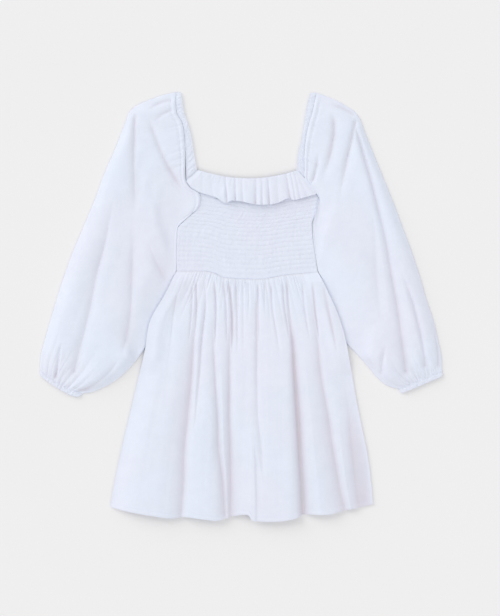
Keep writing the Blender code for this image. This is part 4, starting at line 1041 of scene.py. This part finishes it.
def bodice_front(material):
    shares = np.linspace(0, 1, BODICE_COLUMNS)
    downs = stretches((
        (0.0, BODICE_ROWS_ABOVE),
        (SHIRRING_START, SHIRRING_ROWS * GRID_ROWS_PER_SHIRRING),
        (SHIRRING_END, BODICE_ROWS_BELOW),
    ))
    neckline, waist = moved(NECKLINE, -BODICE_BELOW_NECKLINE), moved(WAIST, BODICE_ABOVE_WAIST)
    plan = patch((neckline, waist, BODICE_LEFT_SIDE, BODICE_RIGHT_SIDE), shares, downs)
    seam_reach = SIDE_SEAM_REACH_RIGHT * shares ** SIDE_SEAM_POWER
    seam_reach = seam_reach - SIDE_SEAM_REACH_LEFT * (1 - shares) ** SIDE_SEAM_POWER
    plan[..., 0] += beyond(SIDE_SEAM_TOP - plan[..., 1], SIDE_SEAM_FADE) * seam_reach[None]
    across = shares[None] * BODICE_WIDTH
    down = downs[:, None]
    row_number = (down - SHIRRING_START) / (SHIRRING_END - SHIRRING_START) * SHIRRING_ROWS
    number = row_number + uneven(across, row_number, SHIRRING_BOW)
    band_number = np.clip(np.floor(number), -1, SHIRRING_ROWS)
    share = number - np.floor(number)
    in_rows = beyond(row_number, SHIRRING_FADE) * beyond(SHIRRING_ROWS - row_number, SHIRRING_FADE)
    puff = np.sqrt(np.maximum(1 - (2 * share - 1) ** 2, 0)) ** SHIRRING_PUFF_POWER
    strength = 1 + uneven(across, band_number, SHIRRING_STRENGTH)
    height = SHIRRING_VALLEY_TOP + SHIRRING_CREST_RISE * puff * strength * in_rows
    puckers = sum(
        uneven(across + lean * (share - 0.5) * layer.cell_across, band_number, (layer,))
        for layer, lean in zip(PUCKERS, PUCKER_LEANS)
    )
    pinched = PUCKERS_IN_VALLEY + (1 - PUCKERS_IN_VALLEY) * puff
    height += in_rows * (PUCKER_HEIGHT * puckers * pinched + uneven(across, row_number, LONG_PUCKERS))
    height += (1 - in_rows) * (STRIP_RISE + uneven(across, down, STRIP_NOISE))
    inward = beyond(to_side(shares), BODICE_SIDE_FADE)[None]
    ends = beyond(down, BODICE_TOP_FADE) * beyond(1 - down, BODICE_WAIST_FADE)
    height = SHIRRING_VALLEY_TOP + (height - SHIRRING_VALLEY_TOP) * inward * ends
    height = soft_floor(height, BODICE_LOWEST_TOP, BODICE_FLOOR_SOFTNESS)
    cloth = Cloth("bodice_front_cloth")
    pick = np.ix_(every(len(downs), BODICE_INSIDE_STEPS[0]), every(BODICE_COLUMNS, BODICE_INSIDE_STEPS[1]))
    cloth.sheet(with_height(plan, height), with_height(plan[pick], FRONT_UNDERSIDE))
    valleys = [BODICE_ROWS_ABOVE + i * GRID_ROWS_PER_SHIRRING for i in range(SHIRRING_ROWS + 1)]
    paths = [with_height(plan[row], height[row] + THREAD_ABOVE_CLOTH) for row in valleys]
    return cloth.finish(material), paths


def bodice_back(material):
    neckline, waist = moved(NECKLINE, -BACK_BELOW_NECKLINE), moved(WAIST, BACK_ABOVE_WAIST)
    shares, downs = np.linspace(0, 1, BODICE_BACK_COLUMNS), np.linspace(0, 1, BODICE_BACK_ROWS)
    plan = patch((neckline, waist, BACK_LEFT_SIDE, BACK_RIGHT_SIDE), shares, downs)
    cloth = Cloth("bodice_back_cloth")
    cloth.sheet(with_height(plan, BACK_TOP), with_height(plan, 0.0))
    return cloth.finish(material)


def ruffle(material):
    shares = np.linspace(0, 1, RUFFLE_COLUMNS)
    downs = stretches(RUFFLE_ROWS)
    neck = moved(NECKLINE, RUFFLE_ABOVE_NECKLINE)
    plan = patch((neck, RUFFLE_EDGE, RUFFLE_LEFT_SIDE, RUFFLE_RIGHT_SIDE), shares, downs)
    down, across = np.broadcast_arrays(downs[:, None], shares[None] * NECKLINE_LENGTH)
    away = down * RUFFLE_LENGTH
    at_edge = table_value(RUFFLE_RISE_AT_EDGE, shares)[None]
    rise = RUFFLE_RISE_AT_NECK + (at_edge - RUFFLE_RISE_AT_NECK) * down
    dip = np.zeros(down.shape)
    for fold in RUFFLE_FOLDS:
        beside = np.abs(plan[..., 0] - fold.x_neck - (fold.x_edge - fold.x_neck) * down)
        dip = np.maximum(dip, fold.depth * (1 - eased(beside, fold.width, RUFFLE_FOLD_POWER)))
    ends = beyond(to_side(shares), RUFFLE_END_FADE)[None]
    to_ends = RUFFLE_END_RISE + (1 - RUFFLE_END_RISE) * ends
    height = RUFFLE_LOWEST_TOP + (rise + RUFFLE_FULLNESS) * (1 - dip) * to_ends
    fine = gathered(across, away, NECKLINE_LENGTH, RUFFLE_GATHERS)
    height += ends * (RUFFLE_GATHER_RISE - fine) * beyond(away, GATHERS_START_WITHIN)
    height += ends * down * uneven(across, down, RUFFLE_BROAD_NOISE)
    height += ends * uneven(across, down, RUFFLE_FINE_NOISE) + ridged(down, RUFFLE_GROOVE)
    height = soft_floor(height, RUFFLE_LOWEST_TOP, RUFFLE_FLOOR_SOFTNESS)
    inside = np.maximum(lowest_near(height, *RUFFLE_INSIDE_STEPS) - WALL, RUFFLE_UNDERSIDE)
    # Painted shade in the ruffle's folds, measured from its surface without folds and gathers, and none at
    # its ends
    smooth = RUFFLE_LOWEST_TOP + (rise + RUFFLE_FULLNESS_UNSHADED) * to_ends
    depth = painted_fold_shade(smooth, height, RUFFLE_SHADE_FLOOR)
    rows = every(len(downs), RUFFLE_INSIDE_STEPS[0])
    cloth = Cloth("neck_ruffle_cloth")
    cloth.sheet(with_height(plan, height), with_height(plan[rows], inside[rows]), depth * ends)
    row = np.argmin(abs(downs - RUFFLE_STITCHES_AT))
    return cloth.finish(material), [with_height(plan[row], height[row] + THREAD_ABOVE_CLOTH)]


def across_shares(width, columns, turns=TUBE_TURNS):
    """Shares across a flattened tube, close together where its folds turn."""
    turn = TUBE_ROUNDING / width * (1 - np.cos(np.linspace(0, np.pi / 2, turns)))
    middle = np.linspace(turn[-1], 1 - turn[-1], columns - 2 * (turns - 1))
    return np.concatenate([turn[:-1], middle, 1 - turn[-2::-1]])


def across_underside(width, columns):
    """Shares across a flattened tube's underside, whose two edges belong to the top."""
    return across_shares(width, columns + 2, TUBE_UNDER_TURNS)[1:-1]


def fold_profile(distance, rounding):
    """0 at a tube's fold and 1 beyond its rounding, as a quarter circle."""
    inside = np.clip(distance / rounding, 0, 1)
    return np.sqrt(np.maximum(1 - (1 - inside) ** 2, 0))


def tube_grids(plan, top, shares, under_shares, wall, fold_wall, step):
    """The outer and inner grids of a flattened tube, from its top surface."""
    width = np.linalg.norm(np.diff(plan, axis=1), axis=2).sum(axis=1)[:, None]
    distance = to_side(shares) * width
    sewn = beyond(plan[:, -1, 1] - SEWN_SIDE_ABOVE, SEWN_SIDE_FADE)[:, None] * (shares > 0.5)
    profile = fold_profile(distance, TUBE_ROUNDING - SEWN_SIDE_SHARPER * sewn)
    rounded = SLEEVE_EDGE_MIDDLE + (top - SLEEVE_EDGE_MIDDLE) * profile
    under_plan = np.stack([
        np.column_stack([np.interp(under_row, top_row, places[:, axis]) for axis in (0, 1)])
        for under_row, top_row, places in zip(under_shares, shares, plan)
    ])
    under_distance = to_side(under_shares) * width
    under = SLEEVE_EDGE_MIDDLE * (1 - fold_profile(under_distance, TUBE_ROUNDING))
    outer = np.concatenate([with_height(plan, rounded), with_height(under_plan, under)[:, ::-1]], axis=1)
    across = plan[:, -1] - plan[:, 0]
    across = across / np.linalg.norm(across, axis=1)[:, None]

    def pushed_in(places, at, away):
        """The plan places moved inward by a fold's wall, beside the fold."""
        push = fold_wall * np.clip(1 - away / (2 * fold_wall), 0, 1) * np.where(at < 0.5, 1, -1)
        return places + push[..., None] * across[:, None, :]

    lowest = wall + TUBE_LEAST_HOLLOW
    inner_top = np.maximum(lowest_near(top, step, TUBE_INSIDE_COLUMNS) - wall, lowest)
    inner_top = lowest + (inner_top - lowest) * fold_profile(distance, 2 * TUBE_ROUNDING)
    inner = np.concatenate([
        with_height(pushed_in(plan, shares, distance), inner_top),
        with_height(pushed_in(under_plan, under_shares, under_distance), wall)[:, ::-1],
    ], axis=1)
    return outer, inner[every(len(plan), step)]


def sleeve(name, lines, creases, material, seed, mirrored):
    lines = [smooth_curve(points) for points in lines]
    stations = stretches(SLEEVE_STATIONS)
    plan, shares, under_shares = [], [], []
    for station in stations:
        rough = guided_row(*lines, np.linspace(0, 1, SLEEVE_WIDTH_SAMPLES), station)
        width = np.linalg.norm(np.diff(rough, axis=0), axis=1).sum()
        row = across_shares(width, SLEEVE_TOP_COLUMNS)
        plan.append(guided_row(*lines, row, station))
        shares.append(row)
        under_shares.append(across_underside(width, SLEEVE_UNDER_COLUMNS))
    plan, shares, under_shares = np.stack(plan), np.stack(shares), np.stack(under_shares)
    width = np.linalg.norm(np.diff(plan, axis=1), axis=2).sum(axis=1)[:, None]
    station, _ = np.broadcast_arrays(stations[:, None], shares)
    from_cap, from_cuff = station * SLEEVE_LENGTH, (1 - station) * SLEEVE_LENGTH
    inner_y = plan[:, -1, 1]

    beside_bodice = beyond(inner_y - BODICE_SIDE_FROM, BODICE_SIDE_REACH)[:, None]
    free = beyond(FREE_INNER_SIDE_BELOW - inner_y, FREE_INNER_SIDE_REACH)[:, None]
    rounding = SLEEVE_INNER_ROUNDING + (FREE_INNER_ROUNDING - SLEEVE_INNER_ROUNDING) * free
    rounding = rounding + (BODICE_SIDE_ROUNDING - rounding) * beside_bodice
    inner_side = eased((1 - shares) * width, rounding, SLEEVE_INNER_POWER)
    inner_side = inner_side + (1 - inner_side) * near(station, MOUTH_UNTIL) * beyond(1 - shares, MOUTH_SIDE)
    inward = eased(shares * width, SLEEVE_OUTER_ROUNDING) * inner_side
    puff = table_value(SLEEVE_HEIGHTS, stations)[:, None]
    height = SLEEVE_EDGE_TOP + (puff - SLEEVE_EDGE_TOP) * inward

    near_cap, near_cuff = near(from_cap, CAP_FULLNESS_REACH), near(from_cuff, CUFF_FULLNESS_REACH)
    # The surface without gathers and creases, from which the painted fold shade is measured
    smooth = height + CUFF_FULLNESS_UNSHADED * near_cuff * inward
    at_cuff = gathered(shares * CUFF_WIDTH, from_cuff, CUFF_WIDTH, CUFF_GATHERS, seed)
    height += inward * (CUFF_FULLNESS * near_cuff - at_cuff) * beyond(from_cuff, GATHERS_START_WITHIN)
    at_cap = gathered(shares * CAP_LENGTH, from_cap, CAP_LENGTH * CAP_GATHERED_SHARE, CAP_GATHERS, seed)
    height += inward * (CAP_FULLNESS * near_cap - at_cap) * beyond(from_cap, GATHERS_START_WITHIN)
    body = beyond(from_cap, SLEEVE_BROAD_NOISE_FROM) * beyond(from_cuff, SLEEVE_BROAD_NOISE_FROM)
    height += body * inward * uneven(shares, station, SLEEVE_BROAD_NOISE, seed)
    height += inward * uneven(plan[..., 0], plan[..., 1], SLEEVE_FINE_NOISE, seed)
    folds = creased(wandering(plan, seed + SLEEVE_WANDER_SEED), creases)
    height -= folds * beyond(station, SLEEVE_CREASES_FROM)

    sides = beyond(shares - SEAM_RIM_OUTER_FROM, SEAM_RIM_OUTER_FADE)
    sides = sides * beyond(1 - shares, SEAM_RIM_INNER_FADE)
    height += ridged(from_cap, SEAM_RIM) * sides
    height += ridged((1 - shares) * width, SEAM_RIM) * beside_bodice * beyond(from_cap, SIDE_SEAM_RIM_FROM)
    height -= ARMHOLE_DIP * np.exp(-from_cap / ARMHOLE_DIP_REACH)
    height = soft_floor(height, SLEEVE_LOWEST_TOP, SLEEVE_FLOOR_SOFTNESS)

    outer, inner = tube_grids(plan, height, shares, under_shares, WALL, SLEEVE_FOLD_WALL, SLEEVE_INSIDE_STEP)
    depth = np.zeros(outer.shape[:-1])
    # Painted shade in the folds of the sleeve's top, eased in from the cap
    painted_shade = painted_fold_shade(smooth, height, SLEEVE_SHADE_FLOOR) * beyond(from_cap, SLEEVE_SHADE_FROM)
    depth[:, :SLEEVE_TOP_COLUMNS] = painted_shade
    if mirrored:
        outer, inner, depth = outer[:, ::-1], inner[:, ::-1], depth[:, ::-1]
    cloth = Cloth(name)
    cloth.tube(outer, inner, depth)
    row = np.argmin(abs(from_cap[:, 0] - SEAM_STITCHES_AT))
    kept = shares[row] > ARMHOLE_STITCHES_FROM
    return cloth.finish(material), [with_height(plan[row], height[row] + THREAD_ABOVE_CLOTH)[kept]]


def cuff(name, seam, edge, material, seed, mirrored):
    seam_line, edge_line = smooth_curve(seam), smooth_curve(edge)
    downs = np.linspace(0, 1, CUFF_ROWS)
    shares = across_shares(CUFF_WIDTH, CUFF_COLUMNS)
    away = edge_line([0.5])[0] - seam_line([0.5])[0]
    away = away / np.linalg.norm(away)
    plan = np.stack([
        (1 - down) * seam_line(shares) + down * edge_line(shares) + away * CUFF_SEAM_GAP * (1 - down)
        for down in downs
    ])
    down, shares = np.broadcast_arrays(downs[:, None], shares[None])
    distance = to_side(shares) * CUFF_WIDTH
    drawn_in = CUFF_CORNER_ROUNDING * smoothstep(down) * (1 - eased(distance, CUFF_CORNER_WIDTH))
    plan = plan - away * drawn_in[..., None]
    inward = eased(distance, CUFF_SIDE_ROUNDING, 1)
    puckers = uneven(shares * CUFF_WIDTH, down, CUFF_PUCKERS, seed)
    puckered = CUFF_PUCKERS_AT_EDGES + (1 - CUFF_PUCKERS_AT_EDGES) * np.sin(np.pi * down)
    height = CUFF_SIDE_TOP + CUFF_RISE * inward + CUFF_PUCKER_HEIGHT * inward * puckers * puckered
    height += ridged(down, CUFF_GROOVE) - CUFF_EDGE_DIP * beyond(down - CUFF_EDGE_FROM, 1 - CUFF_EDGE_FROM)
    height = soft_floor(height, CUFF_LOWEST_TOP, CUFF_FLOOR_SOFTNESS)
    under_shares = np.repeat(across_underside(CUFF_WIDTH, CUFF_UNDER_COLUMNS)[None], CUFF_ROWS, axis=0)
    outer, inner = tube_grids(plan, height, shares, under_shares, CUFF_WALL, CUFF_FOLD_WALL, CUFF_INSIDE_STEP)
    if mirrored:
        outer, inner = outer[:, ::-1], inner[:, ::-1]
    cloth = Cloth(name)
    cloth.tube(outer, inner)
    row = np.argmin(abs(downs - CUFF_STITCHES_AT))
    return cloth.finish(material), [with_height(plan[row], height[row] + THREAD_ABOVE_CLOTH)]


def band(name, sleeve_side, neck_side, material, seed, side):
    """An elastic casing from the ruffle over the shoulder to the back. side is -1 at the picture's left."""
    sleeve_line = smooth_curve([(x - side * SIDE_GAP, y) for x, y in sleeve_side])
    neck_line = smooth_curve(neck_side)
    shares = np.linspace(0, 1, BAND_COLUMNS)
    turns = np.linspace(-np.pi / 2, np.pi / 2, BAND_FOLD_TURNS + 2)[1:-1]

    def strip(downs, inset):
        near_sleeve, near_neck = sleeve_line(downs), neck_line(downs)
        near_sleeve = near_sleeve + (near_neck - near_sleeve) * inset
        start, end = (near_sleeve, near_neck) if side < 0 else (near_neck, near_sleeve)
        return start[:, None] + (end - start)[:, None] * shares[None, :, None]

    def over_fold(reach):
        places = np.repeat(strip([0.0], 0.0), BAND_FOLD_TURNS, axis=0)
        places[..., 1] -= (BAND_FOLD_BACK_FROM - reach * np.cos(turns))[:, None]
        return places

    front_downs = np.linspace(BAND_FOLD_UNTIL, 1, BAND_FRONT_ROWS)
    back = strip(np.linspace(1, BAND_FOLD_UNTIL, BAND_BACK_ROWS), BAND_BACK_INSET)
    front = strip(front_downs, 0.0)
    down, across = np.broadcast_arrays(front_downs[:, None], shares[None])
    bulge = np.sin(np.pi * across)
    puckers = uneven(down, across, BAND_PUCKERS, seed)
    puckered = BAND_PUCKERS_AT_EDGES + (1 - BAND_PUCKERS_AT_EDGES) * bulge
    rise = BAND_RISE + BAND_BULGE * bulge + BAND_PUCKER_HEIGHT * puckers * puckered
    top = BAND_TOP_AT_FOLD + beyond(down, BAND_FULL_FROM) * (rise + ridged(across, BAND_GROOVES))
    top += (BAND_TUCKED_TOP - top) * beyond(down - BAND_TUCK_STARTS, 1 - BAND_TUCK_STARTS)
    top = soft_floor(top, BAND_LOWEST_TOP, BAND_FLOOR_SOFTNESS)
    round_fold = np.repeat(np.sin(turns)[:, None], BAND_COLUMNS, axis=1)
    fold_top = BAND_TOP_AT_FOLD / 2 * (1 + round_fold)
    fold_inside = (FRONT_UNDERSIDE + BACK_TOP) / 2 + (FRONT_UNDERSIDE - BACK_TOP) / 2 * round_fold
    upper = np.concatenate([
        with_height(back, 0.0),
        with_height(over_fold(BAND_FOLD_REACH_OUTSIDE), fold_top),
        with_height(front, top),
    ])
    lower = np.concatenate([
        with_height(back, BACK_TOP),
        with_height(over_fold(BAND_FOLD_REACH_INSIDE), fold_inside),
        with_height(front, FRONT_UNDERSIDE),
    ])
    cloth = Cloth(name)
    cloth.sheet(upper, lower)
    paths = [with_height(front[:, i], top[:, i] + THREAD_ABOVE_CLOTH) for i in BAND_STITCH_COLUMNS]
    return cloth.finish(material), paths


def stitches(name, paths, stitch, material):
    """Short raised stitches along paths over the cloth, all as one piece. Each is pointed at both ends."""
    cloth = Cloth(name)
    upward = np.array([0.0, 0.0, stitch.thick])
    for path in paths:
        reach = np.concatenate([[0.0], np.cumsum(np.linalg.norm(np.diff(path, axis=0), axis=1))])
        middles = np.arange(stitch.pitch, reach[-1] - stitch.pitch, stitch.pitch)
        start, end = (
            np.column_stack([np.interp(middles + half, reach, path[:, axis]) for axis in range(3)])
            for half in (-stitch.length / 2, stitch.length / 2)
        )
        across = np.column_stack([start[:, 1] - end[:, 1], end[:, 0] - start[:, 0], np.zeros(len(start))])
        across *= stitch.thick / np.linalg.norm(across, axis=1)[:, None]
        middle = (start + end) / 2 + upward * STITCH_RISE
        points = [start - upward * STITCH_SINKS, end - upward * STITCH_SINKS]
        for direction in (-STITCH_SHOULDER, STITCH_SHOULDER):
            centre = middle + (end - start) * direction
            points += [centre + across, centre + upward, centre - across, centre - upward]
        index = cloth.add(np.stack(points, axis=1))
        for k in range(4):
            n = (k + 1) % 4
            for corners in ((0, 2 + n, 2 + k), (1, 6 + k, 6 + n), (2 + k, 2 + n, 6 + n, 6 + k)):
                cloth.faces += index[:, list(corners)].tolist()
    return cloth.finish(material)


def put_on(piece, node=None):
    """Rides a piece on the dress and hides the solid that it stands for."""
    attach(piece, "root")
    if node:
        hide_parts(node)
    return piece


def make_dress():
    cotton = cotton_material("white_cotton_weave", COTTON_TINTS)
    cotton_left = cotton_material("white_cotton_weave_left_sleeve", COTTON_TINTS, GRAIN_LEFT_SLEEVE)
    cotton_right = cotton_material("white_cotton_weave_right_sleeve", COTTON_TINTS, GRAIN_RIGHT_SLEEVE)
    # These two take the slightly darker tints, painted shade for their puckers
    shirred = cotton_material("shirred_cotton_weave", PUCKER_SHADED_TINTS)
    casing = cotton_material("elastic_casing_weave", PUCKER_SHADED_TINTS, GRAIN_CASING)
    thread = thread_material()

    skirt, hem_path = skirt_front(cotton)
    bodice, shirring_paths = bodice_front(shirred)
    frill, frill_path = ruffle(cotton)
    left, left_path = sleeve(
        "sleeve_left_cloth", SLEEVE_LEFT_LINES, SLEEVE_LEFT_CREASES, cotton_left, seed=61, mirrored=False)
    right, right_path = sleeve(
        "sleeve_right_cloth", SLEEVE_RIGHT_LINES, SLEEVE_RIGHT_CREASES, cotton_right, seed=71, mirrored=True)
    cuff_left, cuff_left_path = cuff(
        "cuff_left_cloth", CUFF_LEFT_SEAM, CUFF_LEFT_EDGE, casing, seed=81, mirrored=False)
    cuff_right, cuff_right_path = cuff(
        "cuff_right_cloth", CUFF_RIGHT_SEAM, CUFF_RIGHT_EDGE, casing, seed=91, mirrored=True)
    band_left, band_left_paths = band(
        "neck_band_left_cloth", BAND_LEFT_SLEEVE_SIDE, BAND_LEFT_NECK, casing, seed=101, side=-1)
    band_right, band_right_paths = band(
        "neck_band_right_cloth", BAND_RIGHT_SLEEVE_SIDE, BAND_RIGHT_NECK, casing, seed=111, side=1)
    back, bodice_behind = skirt_back(cotton), bodice_back(cotton)

    put_on(skirt, "skirt_front")
    put_on(back, "skirt_back")
    put_on(bodice, "bodice_front")
    put_on(bodice_behind, "bodice_back")
    put_on(frill, "neck_ruffle")
    put_on(left, "sleeve_left")
    put_on(right, "sleeve_right")
    put_on(cuff_left, "cuff_left")
    put_on(cuff_right, "cuff_right")
    put_on(band_left, "neck_band_left")
    put_on(band_right, "neck_band_right")

    def sew(name, paths, stitch):
        return put_on(stitches(name, paths, stitch, thread))

    shirring = sew("shirring_thread", shirring_paths, SHIRRING_STITCH)
    hem = sew("hem_thread", hem_path, SEAM_STITCH)
    edge = sew("ruffle_thread", frill_path, RUFFLE_STITCH)
    caps = sew("armhole_thread", left_path + right_path, SEAM_STITCH)
    sew("band_thread", band_left_paths + band_right_paths, CASING_STITCH)
    sew("cuff_thread", cuff_left_path + cuff_right_path, CASING_STITCH)


def make_stage():
    corners = [(-FLOOR_HALF, -FLOOR_HALF), (FLOOR_HALF, -FLOOR_HALF), (FLOOR_HALF, FLOOR_HALF),
               (-FLOOR_HALF, FLOOR_HALF)]
    mesh = bpy.data.meshes.new("floor")
    mesh.from_pydata([(x, y, FLOOR_BELOW) for x, y in corners], [], [(0, 1, 2, 3)])
    n = Nodes("pale_floor")
    colour = n.ramp(n.noise(n.place(), 3.0), zip((0.3, 0.7), FLOOR_TINTS))
    n.set(n.shader, {"Base Color": colour, "Roughness": 0.95, "Specular IOR Level": 0.0})
    mesh.materials.append(n.material)
    floor = bpy.data.objects.new("floor", mesh)
    bpy.context.scene.collection.objects.link(floor)


def make_light():
    scene = bpy.context.scene
    scene.view_settings.view_transform = "Standard"
    world = bpy.data.worlds.new("soft_studio")
    world.use_nodes = True
    background = world.node_tree.nodes["Background"]
    background.inputs["Color"].default_value = SKY_COLOUR
    background.inputs["Strength"].default_value = SKY_STRENGTH
    scene.world = world
    for light in LIGHTS:
        sun = bpy.data.lights.new(light.name, "SUN")
        sun.energy = light.strength
        sun.angle = np.radians(light.spread)
        lamp = bpy.data.objects.new(light.name, sun)
        lamp.rotation_euler = (0.0, np.radians(-light.tilt), np.radians(-light.turn))
        scene.collection.objects.link(lamp)


def make_camera():
    """Straight above, from far enough that the dress shows almost no perspective."""
    data = bpy.data.cameras.new("camera")
    data.sensor_width = CAMERA_SENSOR
    data.lens = CAMERA_LENS
    data.clip_end = CAMERA_REACH
    camera = bpy.data.objects.new("camera", data)
    camera.location = (*PICTURE_CENTRE, PICTURE_HEIGHT * CAMERA_LENS / CAMERA_SENSOR)
    bpy.context.scene.collection.objects.link(camera)
    bpy.context.scene.camera = camera


make_camera()
make_dress()
make_stage()
make_light()
